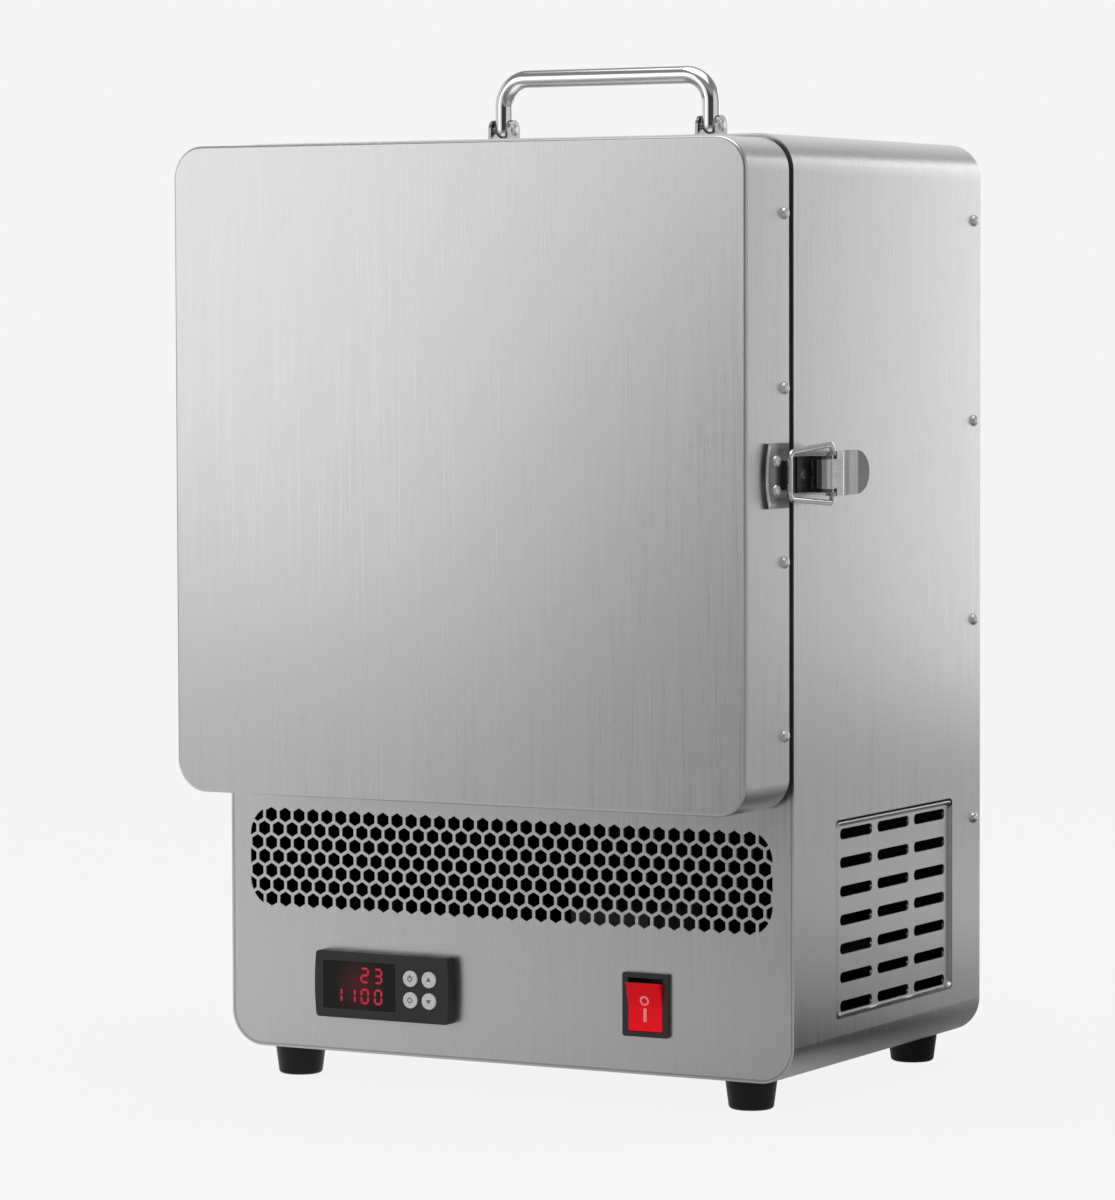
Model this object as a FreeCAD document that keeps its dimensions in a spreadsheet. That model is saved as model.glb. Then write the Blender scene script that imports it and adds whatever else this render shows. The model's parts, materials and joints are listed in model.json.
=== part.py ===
"""Bench-top muffle furnace: insulated chamber over an electrics bay, hinged door with a toggle latch.

Millimetres, +Z up. The origin is on the floor, under the middle of the footprint. The door is at the
front (-Y), the hinges are on the left (-X) and the latch is on the right (+X).
"""
import FreeCAD, Part
import math
import os
import re

import Sketcher

Vector = FreeCAD.Vector
Rotation = FreeCAD.Rotation

# Driving dimensions, each with what it measures
SIZES = {
    "body_width": (320, "casing, outside"),
    "body_depth": (216, "casing, front edge to rear edge"),
    "body_height": (458, "casing, outside"),
    "body_radius": (18, "casing, rounded long edges"),
    "casing_sheet": (1.2, "casing sheet"),
    "panel_sheet": (1.2, "front and rear panel sheet"),
    "panel_rim": (9, "depth of the turned rims of panels and door liner"),
    "panel_fit": (0.3, "gap round the panels inside the casing"),
    "panel_split": (146, "joint between control panel and face plate, above the casing's base"),
    "rear_inset": (2, "rear panel, in from the casing's rear edge"),
    "foot_height": (15, "rubber foot"),
    "foot_top_radius": (12.9, "rubber foot at the casing"),
    "foot_tread_radius": (11.2, "rubber foot at the floor"),
    "foot_inset_x": (31, "foot centre in from the casing's side"),
    "foot_inset_y": (15.7, "foot centre in from the casing's front and rear"),
    "foot_web": (4, "rubber between the screw head and the casing"),
    "foot_edge": (2, "rounding of the foot's tread"),
    "foot_screw_head": (4.4, "foot screw head radius"),
    "foot_screw_room": (0.8, "well round the foot screw's head"),
    "foot_screw_grip": (5, "foot screw above the casing's floor"),
    "nut_radius": (3.2, "foot nuts, across the corners, half"),
    "nut_height": (2.4, "foot nuts"),
    "vent_width": (136, "side vent window"),
    "vent_height": (98, "side vent window"),
    "vent_radius": (3, "side vent window's corners"),
    "vent_shift": (6, "middle of the vent behind the casing's middle"),
    "vent_rise": (75.4, "middle of the vent above the casing's base"),
    "vent_lap": (8, "vent plate behind the casing, beside and above the window"),
    "vent_sill": (1.2, "vent plate behind the casing, below the window"),
    "slot_length": (36.5, "vent slot, end to end"),
    "slot_width": (5.4, "vent slot"),
    "slot_row_pitch": (14.15, "vent slots, up"),
    "slot_drop": (1, "vent slots below the middle of the window"),
    "slot_column_pitch": (42.6, "vent slots, along"),
    "slot_rows": (7, "vent slot rows"),
    "grille_rise": (97, "middle of the honeycomb above the casing's base"),
    "grille_side": (11.5, "honeycomb field in from the casing's sides"),
    "grille_height": (52, "honeycomb field"),
    "grille_radius": (15, "honeycomb field's corners"),
    "cell_pitch": (8.25, "honeycomb cells, across"),
    "cell_web": (1.6, "steel between honeycomb cells"),
    "door_depth": (45, "door shell"),
    "door_radius": (16, "door shell's corners"),
    "door_lift": (133.6, "door's lower edge above the casing's base"),
    "door_drop": (2.4, "door's upper edge below the casing's top"),
    "door_sheet": (1.2, "door sheet"),
    "door_edge_radius": (1.6, "rounding of the door's front edge"),
    "seam_gap": (5, "between door and casing"),
    "gasket_width": (10, "door gasket, across"),
    "gasket_inset": (5, "door gasket in from the door's outline"),
    "gasket_clear": (0.3, "gasket to the casing's front"),
    "fill_room": (1, "door filling clear of the side screws' ends"),
    "side_build": (65, "casing's side to the chamber"),
    "door_border": (66, "door's upper and lower edges to the chamber"),
    "chamber_depth": (130, "furnace chamber"),
    "board_thick": (48, "refractory board"),
    "partition_sheet": (1.5, "shelf over the electrics bay"),
    "partition_flange": (14, "shelf's turned-down sides"),
    "plug_clear": (3, "door plug inside the mouth, each side"),
    "plug_reach": (16, "door plug past the casing's front"),
    "hearth_thick": (8, "hearth plate"),
    "hearth_margin": (12, "hearth plate in from the plug and the chamber's walls"),
    "element_radius": (2, "heating element rod"),
    "element_border": (40, "outer heating element runs in from the chamber's floor and roof"),
    "element_runs": (6, "heating element runs on each wall, an even number"),
    "element_margin": (14, "heating element bends in from the plug and the rear board"),
    "element_clear": (0.3, "heating element to the wall"),
    "lead_reach": (12, "element ends behind the rear board"),
    "bushing_wall": (2, "ceramic bushing round an element end"),
    "bushing_collar": (3, "ceramic bushing's collar, thick and wide"),
    "probe_radius": (3, "thermocouple sheath"),
    "probe_reach": (35, "thermocouple inside the chamber"),
    "probe_drop": (35, "thermocouple below the chamber's roof"),
    "probe_head": (11, "thermocouple head radius"),
    "probe_head_length": (14, "thermocouple head"),
    "inner_clear": (0.1, "fixed rods and screws in their holes"),
    "running_clear": (0.05, "pins in their holes"),
    "screw_head_radius": (3, "pan head screws"),
    "screw_head_height": (2.2, "pan head screws"),
    "screw_radius": (1.5, "pan head screws' shanks"),
    "screw_length": (7, "pan head screws' shanks under the head"),
    "rear_screw_inset": (8, "side screws in from the casing's rear edge"),
    "rear_screw_first": (112, "lowest side screw above the casing's base"),
    "rear_screw_last": (39.1, "highest side screw below the casing's top"),
    "door_screw_inset": (4.8, "door screws in from the door's rear edge"),
    "door_screw_first": (36.2, "outer door screws in from the door's upper and lower edges"),
    "side_screw_count": (4, "screws on each side of door and casing"),
    "handle_span": (120, "handle legs, centre to centre"),
    "handle_rise": (39, "top of the handle above the casing"),
    "handle_rod_radius": (4.5, "handle rod"),
    "handle_bend": (14, "handle bends, centre line"),
    "pivot_rise": (8.5, "handle pins above the casing"),
    "ear_thick": (1.5, "bracket ears and base"),
    "ear_depth": (10.5, "bracket ears, front to rear"),
    "ear_crown": (5.2, "bracket ears above the handle pins"),
    "ear_gap": (0.4, "handle leg to bracket ear"),
    "handle_pin_radius": (1.8, "handle pins"),
    "pin_head_radius": (3.2, "handle pin heads"),
    "pin_head_height": (1.2, "handle pin heads"),
    "hinge_height": (60, "hinge leaf"),
    "hinge_margin": (6, "hinge leaf beyond its screws"),
    "hinge_sheet": (2, "hinge leaf"),
    "knuckle_radius": (3.6, "hinge knuckle"),
    "hinge_pin_radius": (1.8, "hinge pin"),
    "hinge_pin_head": (2.8, "hinge pin heads' radius"),
    "hinge_inset": (78, "hinge's middle in from the door's upper and lower edges"),
    "knuckle_gap": (0.3, "between hinge knuckles"),
    "hinge_screw_radius": (1.5, "hinge screws"),
    "hinge_screw_head": (2.8, "hinge screws' countersunk heads, radius"),
    "hinge_screw_length": (6.2, "hinge screws"),
    "hinge_screw_pitch": (40, "hinge screws, up"),
    "hinge_screw_room": (1.5, "hinge screws clear of the rims inside"),
    "latch_sheet": (1.5, "latch base and keeper"),
    "latch_pin_back": (19, "lever pin behind the casing's front edge"),
    "latch_pin_rise": (7, "lever pin off the casing's side"),
    "latch_pin_radius": (2, "lever pin"),
    "latch_base_front": (1, "latch base behind the casing's front edge"),
    "latch_base_length": (34, "latch base"),
    "latch_ear_radius": (4.2, "latch base ears round the pin"),
    "latch_ear_gap": (0.3, "lever knuckle to latch ear"),
    "lever_shoulder": (1, "lever's full width starts behind the ears"),
    "lever_knuckle_width": (14, "lever knuckle"),
    "lever_knuckle_wall": (2.2, "lever knuckle round the pin"),
    "lever_width": (21.6, "lever"),
    "lever_sheet": (1.8, "lever"),
    "lever_length": (44, "lever, pin to tip"),
    "lever_flat": (12, "lever's flat run from the pin"),
    "lever_hump_radius": (18, "lever's outward bend, centre line"),
    "lever_hump_turn": (20, "lever's outward bend, degrees"),
    "lever_slope": (5, "lever's run between the bends"),
    "lever_dip_radius": (16, "lever's inward bend, centre line"),
    "lever_dip_turn": (30, "lever's inward bend, degrees"),
    "bail_pivot_back": (7, "bail pivot behind the lever pin"),
    "bail_pivot_out": (0.8, "bail pivot outside the lever pin"),
    "cheek_radius": (3.2, "lever cheek round the bail's end"),
    "wire_radius": (1.4, "bail wire"),
    "bail_narrow": (22.5, "bail at the keeper, wire centres"),
    "bail_wide": (28.5, "bail at the lever, wire centres"),
    "bail_bend": (3.6, "bail bends at the keeper, centre line"),
    "bail_end_bend": (2.2, "bail bends at the lever, centre line"),
    "wire_front": (11.5, "bail cross wire in front of the door's rear edge"),
    "wire_rise": (6.2, "bail cross wire off the door's side, unlatched"),
    "keeper_height": (31, "keeper plate"),
    "keeper_front": (28, "keeper's front edge ahead of the door's rear edge"),
    "keeper_rear": (3, "keeper's rear edge ahead of the door's rear edge"),
    "keeper_bow": (3.2, "bow of the keeper's front edge"),
    "lip_height": (4.1, "keeper lip off the door's side"),
    "lip_thick": (1.8, "keeper lip"),
    "lip_back": (2.1, "keeper lip behind the wire's centre"),
    "lip_across": (14, "keeper lip, up"),
    "rivet_radius": (3, "latch and keeper rivet heads"),
    "rivet_height": (1.8, "latch and keeper rivet heads"),
    "rivet_tail": (2, "rivets past the sheet behind them"),
    "rivet_pitch": (13.8, "keeper rivets, up"),
    "rivet_front": (17, "keeper rivets ahead of the door's rear edge"),
    "base_rivet_inset": (5.5, "latch base rivets in from the base's ends"),
    "control_rise": (34.9, "controller above the casing's base"),
    "control_shift": (-67.4, "controller from the middle"),
    "control_width": (77, "controller bezel at its corners"),
    "control_height": (33.6, "controller bezel at its corners"),
    "control_bow": (0.9, "bow of the bezel's ends"),
    "control_proud": (7, "controller bezel off the panel"),
    "control_corner": (2, "controller bezel's corners"),
    "control_edge": (0.8, "rounding of the bezel's front edge"),
    "housing_depth": (58, "controller housing behind the panel"),
    "housing_margin": (3.5, "controller housing in from the bezel"),
    "window_width": (42, "display window"),
    "window_height": (24, "display window"),
    "window_shift": (-12.8, "display window from the bezel's middle"),
    "window_thick": (1, "display window"),
    "window_sink": (0.3, "display window below the bezel's face"),
    "key_radius": (4.1, "controller key"),
    "key_pitch": (10.8, "controller keys"),
    "key_shift": (22.6, "middle of the keys from the bezel's middle"),
    "key_proud": (0.9, "key off the bezel's face"),
    "key_length": (5, "key"),
    "key_clear": (0.1, "key in its hole"),
    "key_edge": (0.4, "rounding of the key's face"),
    "switch_rise": (34.5, "switch above the casing's base"),
    "switch_shift": (79.9, "switch from the middle"),
    "switch_width": (25.4, "switch bezel"),
    "switch_height": (31.5, "switch bezel"),
    "switch_corner": (1.2, "switch bezel's corners"),
    "switch_proud": (2, "switch bezel off the panel"),
    "switch_wall": (0.9, "switch housing wall"),
    "switch_depth": (24, "switch housing behind the panel"),
    "well_floor": (6, "switch well behind the rocker's pin"),
    "rocker_width": (18.6, "rocker"),
    "rocker_height": (24.2, "rocker, end to end"),
    "rocker_clear": (0.35, "rocker in its well"),
    "rocker_swing": (14, "rocker, one side to the other, degrees"),
    "rocker_fold": (5.2, "rocker's fold in front of its pin"),
    "rocker_back": (1, "rocker's back behind its pin"),
    "rocker_taper": (2.4, "rocker's back in from its ends"),
    "rocker_depth": (5, "rocker pin behind the bezel's face"),
    "rocker_pin_radius": (1.5, "rocker pin stubs"),
    "terminal_length": (9, "switch terminals"),
    "terminal_width": (6.3, "switch terminals"),
    "terminal_thick": (0.8, "switch terminals"),
    "terminal_pitch": (12, "switch terminals"),
    "inlet_rise": (40, "mains inlet above the casing's base"),
    "inlet_shift": (90, "mains inlet from the middle"),
    "inlet_width": (30.5, "mains inlet flange"),
    "inlet_height": (23.5, "mains inlet flange"),
    "inlet_flange": (3, "mains inlet flange"),
    "inlet_mouth_width": (24.2, "mains inlet mouth"),
    "inlet_mouth_height": (17, "mains inlet mouth"),
    "inlet_mouth_cut": (4.5, "mains inlet mouth's cut corners"),
    "inlet_depth": (16, "mains inlet mouth"),
    "inlet_wall": (1.3, "mains inlet wall"),
    "blade_length": (10, "mains inlet blades"),
    "blade_height": (4, "mains inlet blades"),
    "blade_thick": (2, "mains inlet blades"),
    "blade_pitch": (7, "mains inlet blades"),
    "blade_drop": (2, "outer mains blades below the middle one, half"),
    "sink_width": (70, "heat sink"),
    "sink_depth": (80, "heat sink"),
    "sink_base": (6, "heat sink base"),
    "sink_height": (40, "heat sink with fins"),
    "sink_back": (30, "middle of the heat sink behind the casing's middle"),
    "fin_count": (9, "heat sink fins"),
    "fin_thick": (2, "heat sink fins"),
    "relay_width": (45, "power relay"),
    "relay_depth": (58, "power relay"),
    "relay_height": (24, "power relay"),
}

# Places and sizes that follow from the driving dimensions
PLACES = {
    "body_front": "(door_depth + seam_gap - body_depth) / 2",
    "body_rear": "body_front + body_depth",
    "body_middle": "body_front + body_depth / 2",
    "door_back": "body_front - seam_gap",
    "seam_middle": "body_front - seam_gap / 2",
    "side": "body_width / 2",
    "base": "foot_height",
    "floor_sheet": "base + casing_sheet",
    "top": "foot_height + body_height",
    "centre": "foot_height + body_height / 2",
    "inner_width": "body_width - 2 * casing_sheet - 2 * panel_fit",
    "inner_height": "body_height - 2 * casing_sheet - 2 * panel_fit",
    "inner_radius": "body_radius - casing_sheet - panel_fit",
    "split": "base + panel_split",
    "panel_height": "panel_split - casing_sheet - panel_fit",
    "plate_base": "split + panel_fit",
    "plate_height": "top - casing_sheet - panel_fit - plate_base",
    "rear_face": "body_rear - rear_inset",
    "door_base": "base + door_lift",
    "door_height": "body_height - door_lift - door_drop",
    "door_centre": "door_base + door_height / 2",
    "liner_inset": "door_sheet + panel_fit",
    "fill_inset": "screw_length + fill_room",
    "grille_width": "body_width - 2 * grille_side",
    "chamber_width": "body_width - 2 * side_build",
    "chamber_height": "door_height - 2 * door_border",
    "chamber_front": "body_front + panel_sheet",
    "chamber_back": "chamber_front + chamber_depth",
    "chamber_floor": "door_centre - chamber_height / 2",
    "chamber_roof": "door_centre + chamber_height / 2",
    "plug_face": "body_front + plug_reach",
    "plug_width": "chamber_width - 2 * plug_clear",
    "plug_height": "chamber_height - 2 * plug_clear",
    "board_back": "chamber_back + board_thick",
    "board_length": "chamber_depth + board_thick",
    "stack_width": "chamber_width + 2 * board_thick",
    "shelf": "chamber_floor - board_thick",
    "shelf_front": "body_front + panel_rim + panel_fit",
    "shelf_rear": "rear_face - panel_rim - panel_fit",
    "element_x": "chamber_width / 2 - element_radius - element_clear",
    "element_front": "plug_face + element_margin",
    "element_rear": "chamber_back - element_margin",
    "element_end": "board_back + lead_reach",
    "bushing_bore": "element_radius + inner_clear",
    "bushing_radius": "bushing_bore + bushing_wall",
    "element_pitch": "(chamber_height - 2 * element_border) / (element_runs - 1)",
    "probe_z": "chamber_roof - probe_drop",
    "vent_y": "body_middle + vent_shift",
    "vent_z": "base + vent_rise",
    "rear_screw_y": "body_rear - rear_screw_inset",
    "rear_screw_pitch": "(body_height - rear_screw_first - rear_screw_last) / (side_screw_count - 1)",
    "door_screw_y": "door_back - door_screw_inset",
    "door_screw_pitch": "(door_height - 2 * door_screw_first) / (side_screw_count - 1)",
    "handle_pivot": "top + pivot_rise",
    "handle_bar": "top + handle_rise - handle_rod_radius",
    "ear_inner": "handle_rod_radius + ear_gap",
    "ear_outer": "ear_inner + ear_thick",
    "hinge_line": "-side - knuckle_radius",
    "hinge_spread": "door_height - 2 * hinge_inset",
    "hinge_reach": "seam_gap / 2 + panel_rim + hinge_screw_radius + hinge_screw_room",
    "hinge_leaf": "hinge_reach + hinge_margin",
    "lever_pin_x": "side + latch_pin_rise",
    "lever_pin_y": "body_front + latch_pin_back",
    "latch_ear_inner": "lever_knuckle_width / 2 + latch_ear_gap",
    "latch_ear_outer": "latch_ear_inner + latch_sheet",
    "latch_base_y": "body_front + latch_base_front",
    "bail_pivot_x": "lever_pin_x + bail_pivot_out",
    "bail_pivot_y": "lever_pin_y + bail_pivot_back",
    "wire_x": "side + wire_rise",
    "wire_y": "door_back - wire_front",
    "control_z": "base + control_rise",
    "control_face": "body_front - control_proud",
    "housing_width": "control_width - 2 * housing_margin",
    "housing_height": "control_height - 2 * housing_margin",
    "switch_z": "base + switch_rise",
    "rocker_tilt": "rocker_swing / 2",
    "rocker_horn": "rocker_fold + rocker_height / 2 * tan(rocker_tilt)",
    "rocker_sweep": "rocker_height / 2 * cos(rocker_tilt) + rocker_horn * sin(rocker_tilt)",
    "rocker_pin_y": "body_front - switch_proud + rocker_depth",
    "well_width": "rocker_width + 2 * rocker_clear",
    "well_height": "2 * rocker_sweep + 2 * rocker_clear",
    "switch_box_width": "well_width + 2 * switch_wall",
    "switch_box_height": "well_height + 2 * switch_wall",
    "switch_back": "body_front + panel_sheet + switch_depth",
    "inlet_z": "base + inlet_rise",
    "inlet_box_width": "inlet_mouth_width + 2 * inlet_wall",
    "inlet_box_height": "inlet_mouth_height + 2 * inlet_wall",
    "blade_root": "rear_face + inlet_flange - inlet_depth",
    "sink_y": "body_middle + sink_back",
}

TURNS = {
    "x": Rotation(Vector(0, 1, 0), 90),
    "-x": Rotation(Vector(0, 1, 0), -90),
    "y": Rotation(Vector(1, 0, 0), -90),
    "-y": Rotation(Vector(1, 0, 0), 90),
    "z": Rotation(),
    "-z": Rotation(Vector(1, 0, 0), 180),
}
OVERSHOOT = 1.0
DOME_BULGE = 0.14
DOME_FLAT = 0.35
WORD = re.compile(r"[a-z_]+")

doc = FreeCAD.newDocument("MuffleFurnace")
sheet = doc.addObject("Spreadsheet::Sheet", "Sizes")
for row, (word, (number, meaning)) in enumerate(SIZES.items(), start=1):
    sheet.set(f"A{row}", meaning)
    sheet.set(f"B{row}", str(number))
    sheet.setAlias(f"B{row}", word)
doc.recompute()
nodes = []


# Sizes in words
def cell(text):
    """Turn an expression in size words into one that reads the sheet."""
    def look_up(match):
        word = match.group()
        if word in SIZES:
            return f"Sizes.{word}"
        return f"({cell(PLACES[word])})" if word in PLACES else word
    return WORD.sub(look_up, str(text))


def value(text):
    """The number that an expression in size words comes to."""
    return float(sheet.evalExpression(cell(text)))


def point(x, y, z):
    return Vector(value(x), value(y), value(z))


def counted(word):
    return range(int(round(value(word))))


def stack(first, pitch, count):
    """Heights of a row of like pieces, as expressions."""
    return [f"{first} + {number} * {pitch}" for number in counted(count)]


# Solids bound to the sheet
def bind(item, **sizes):
    for name, text in sizes.items():
        item.setExpression(name, cell(text))
    return item


def place(item, spot, turn=Rotation()):
    item.Placement = FreeCAD.Placement(Vector(), turn)
    for axis, text in zip("xyz", spot):
        item.setExpression(f"Placement.Base.{axis}", cell(text))
    return item


def keep(item):
    """Hand an object in as a node under its own label."""
    nodes.append(item)
    return item


def block(name, low, size):
    item = doc.addObject("Part::Box", name)
    bind(item, Length=size[0], Width=size[1], Height=size[2])
    return place(item, low)


def rod(name, radius, length, start, axis):
    item = doc.addObject("Part::Cylinder", name)
    bind(item, Radius=radius, Height=length)
    return place(item, start, TURNS[axis])


def group(name, items):
    item = doc.addObject("Part::Compound", name)
    item.Links = items
    return item


def fuse(name, items):
    item = doc.addObject("Part::MultiFuse", name)
    item.Shapes = items
    item.Refine = True
    return item


def cut(name, body, tools):
    item = doc.addObject("Part::Cut", name)
    item.Base = body
    item.Tool = tools[0] if len(tools) == 1 else group(f"{name}_cuts", tools)
    return item


def shaped(name, shape):
    """A piece whose shape is worked out here from the sheet's values."""
    item = doc.addObject("Part::Feature", name)
    item.Shape = shape
    return item


# Bodies made from sketches
def new_body(name, spot, turn=Rotation()):
    return place(doc.addObject("PartDesign::Body", name), spot, turn)


def new_sketch(body, plane, offset=("0", "0", "0")):
    """A sketch on one of the body's own planes; XZ faces the front, so its depth runs to -Y."""
    sketch = body.newObject("Sketcher::SketchObject", f"{body.Name}_sketch")
    support = next(item for item in body.Origin.OriginFeatures if item.Role == plane)
    sketch.AttachmentSupport = [(support, "")]
    sketch.MapMode = "FlatFace"
    for axis, text in zip("xyz", offset):
        sketch.setExpression(f"AttachmentOffset.Base.{axis}", cell(text))
    return sketch


def dimension(sketch, kind, places, text):
    number = sketch.addConstraint(Sketcher.Constraint(kind, *places, value(text)))
    sketch.setExpression(f"Constraints[{number}]", cell(text))


def pin_corner(sketch, edge, end, corner):
    """Hold one end of an edge at its place from the sketch's origin."""
    for kind, axis_line, text in zip(("DistanceX", "DistanceY"), (-2, -1), corner):
        if text == "0":
            sketch.addConstraint(Sketcher.Constraint("PointOnObject", edge, end, axis_line))
        else:
            dimension(sketch, kind, (-1, 1, edge, end), text)


def outline(sketch, corners, arcs=None):
    """Close a profile through corners, anticlockwise; arcs gives the radius of the edges that bow out."""
    arcs = arcs or {}
    spots = [Vector(value(x), value(y), 0) for x, y in corners]
    edges = []
    for number, start in enumerate(spots):
        finish = spots[(number + 1) % len(spots)]
        if number not in arcs:
            edges.append(sketch.addGeometry(Part.LineSegment(start, finish)))
            continue
        radius = value(arcs[number])
        chord = finish - start
        inward = Vector(-chord.y, chord.x, 0).normalize()
        middle = start + chord * 0.5 + inward * math.sqrt(radius ** 2 - chord.Length ** 2 / 4)
        circle = Part.Circle(middle, Vector(0, 0, 1), radius)
        first, last = (math.atan2(*reversed((spot - middle)[:2])) for spot in (start, finish))
        edges.append(sketch.addGeometry(Part.ArcOfCircle(circle, first, last)))
    for number, edge in enumerate(edges):
        following = edges[(number + 1) % len(edges)]
        sketch.addConstraint(Sketcher.Constraint("Coincident", edge, 2, following, 1))
        pin_corner(sketch, edge, 1, corners[number])
        if number in arcs:
            dimension(sketch, "Radius", (edge,), arcs[number])


def rectangle(sketch, width, height):
    right, upper = f"({width}) / 2", f"({height}) / 2"
    left, lower = f"-({width}) / 2", f"-({height}) / 2"
    outline(sketch, [(left, lower), (right, lower), (right, upper), (left, upper)])


def rounded_rectangle(sketch, width, height, radius):
    across, up = f"(({width}) / 2 - ({radius}))", f"(({height}) / 2 - ({radius}))"
    right, upper = f"({width}) / 2", f"({height}) / 2"
    left, lower = f"-({width}) / 2", f"-({height}) / 2"
    corners = [
        (f"-{across}", lower), (across, lower), (right, f"-{up}"), (right, up),
        (across, upper), (f"-{across}", upper), (left, up), (left, f"-{up}"),
    ]
    outline(sketch, corners, {1: radius, 3: radius, 5: radius, 7: radius})


def hung_panel(sketch, width, height, radius):
    """A panel that hangs from a straight edge through the origin, with rounded lower corners."""
    across, right, left = f"(({width}) / 2 - ({radius}))", f"({width}) / 2", f"-({width}) / 2"
    lower, bend = f"-({height})", f"-({height}) + ({radius})"
    corners = [
        (f"-{across}", lower), (across, lower), (right, bend), (right, "0"), (left, "0"), (left, bend),
    ]
    outline(sketch, corners, {1: radius, 5: radius})


def obround(sketch, length, width, x, y):
    """A slot with round ends, centred at x, y."""
    reach, bend = value(length) / 2 - value(width) / 2, value(width) / 2
    middle = Vector(value(x), value(y), 0)
    axis, across, up = Vector(0, 0, 1), Vector(reach, 0, 0), Vector(0, bend, 0)
    below = sketch.addGeometry(Part.LineSegment(middle - across - up, middle + across - up))
    turn = math.pi / 2
    right = sketch.addGeometry(Part.ArcOfCircle(Part.Circle(middle + across, axis, bend), -turn, turn))
    above = sketch.addGeometry(Part.LineSegment(middle + across + up, middle - across + up))
    left = sketch.addGeometry(Part.ArcOfCircle(Part.Circle(middle - across, axis, bend), turn, 3 * turn))
    ring = [below, right, above, left]
    for edge, following in zip(ring, ring[1:] + ring[:1]):
        sketch.addConstraint(Sketcher.Constraint("Tangent", edge, 2, following, 1))
    sketch.addConstraint(Sketcher.Constraint("Horizontal", below))
    sketch.addConstraint(Sketcher.Constraint("Equal", right, left))
    dimension(sketch, "Radius", (right,), f"({width}) / 2")
    dimension(sketch, "DistanceX", (left, 3, right, 3), f"({length}) - ({width})")
    dimension(sketch, "DistanceX", (-1, 1, right, 3), f"({x}) + (({length}) - ({width})) / 2")
    dimension(sketch, "DistanceY", (-1, 1, right, 3), y)


def disc(sketch, radius, x="0", y="0"):
    edge = sketch.addGeometry(Part.Circle(Vector(value(x), value(y), 0), Vector(0, 0, 1), value(radius)))
    dimension(sketch, "Radius", (edge,), radius)
    pin_corner(sketch, edge, 3, (x, y))


def pad(body, sketch, length, reverse=False, middle=False):
    feature = body.newObject("PartDesign::Pad", f"{body.Name}_pad")
    feature.Profile = sketch
    feature.Reversed = reverse
    feature.SideType = "Symmetric" if middle else "One side"
    bind(feature, Length=length)
    return feature


def pocket(body, sketch, length=None, reverse=False, middle=False):
    """Cut a profile away, to a depth or right through, and make sure that something went."""
    doc.recompute()
    before = body.Shape.Volume
    feature = body.newObject("PartDesign::Pocket", f"{body.Name}_pocket")
    feature.Profile = sketch
    feature.Reversed = reverse
    feature.SideType = "Symmetric" if middle else "One side"
    if length is None:
        feature.Type = "ThroughAll"
    else:
        bind(feature, Length=length)
    doc.recompute()
    if body.Shape.Volume > before - 1e-3:
        raise RuntimeError(f"{feature.Name} cuts nothing")
    return feature


def soften(body, radius, wanted):
    """Round the edges of the body's last feature that the test picks."""
    doc.recompute()
    tip = body.Tip
    edges = [f"Edge{number}" for number, edge in enumerate(tip.Shape.Edges, 1) if wanted(edge)]
    feature = body.newObject("PartDesign::Fillet", f"{body.Name}_fillet")
    feature.Base = (tip, edges)
    bind(feature, Radius=radius)
    return feature


def at_depth(depth):
    """A test for edges that lie in the plane Y = depth of their body."""
    def wanted(edge):
        return all(abs(vertex.Y - depth) < 1e-4 for vertex in edge.Vertexes)
    return wanted


def along_depth(edge):
    """A test for edges that run along Y."""
    first, last = edge.Vertexes[0].Point, edge.Vertexes[-1].Point
    return abs((last - first).y) > 0.99 * edge.Length


# Turned and bent pieces
def turned(spots, domes=()):
    """Revolve a profile of radius, height pairs about Z; domes are the edges that bulge outward."""
    spots = [Vector(radius, 0, height) for radius, height in spots]
    edges = []
    for number, start in enumerate(spots):
        finish = spots[(number + 1) % len(spots)]
        if number in domes:
            chord = finish - start
            bulge = Vector(chord.z, 0, -chord.x) * DOME_BULGE
            edges.append(Part.Arc(start, start + chord * 0.5 + bulge, finish).toShape())
        else:
            edges.append(Part.makeLine(start, finish))
    return Part.Face(Part.Wire(edges)).revolve(Vector(), Vector(0, 0, 1), 360)


def domed_screw(head, height, shank, length):
    """Domed head above Z = 0, shank below it."""
    crown = (head * DOME_FLAT, height)
    return turned([(0, -length), (shank, -length), (shank, 0), (head, 0), crown, (0, height)], domes=(3,))


def sunk_screw(head, shank, length):
    """Countersunk head flush with Z = 0, shank below it."""
    return turned([(0, -length), (shank, -length), (shank, shank - head), (head, 0), (0, 0)])


def headed_pin(head, height, shank, length):
    """A pin from Z = 0 up to its length, with a domed head beyond each end."""
    flat, top = head * DOME_FLAT, length + height
    lower = [(0, -height), (flat, -height), (head, 0), (shank, 0)]
    upper = [(shank, length), (head, length), (flat, top), (0, top)]
    return turned(lower + upper, domes=(1, 5))


def set_out(name, shape, spots, axis):
    """Copies of one fastener, its own Z axis turned along the axis, or along one axis for each."""
    axes = [axis] * len(spots) if isinstance(axis, str) else axis
    copies = []
    for spot, turn in zip(spots, axes):
        copies.append(shape.copy())
        copies[-1].Placement = FreeCAD.Placement(point(*spot), TURNS[turn])
    return shaped(name, Part.makeCompound(copies))


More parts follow.
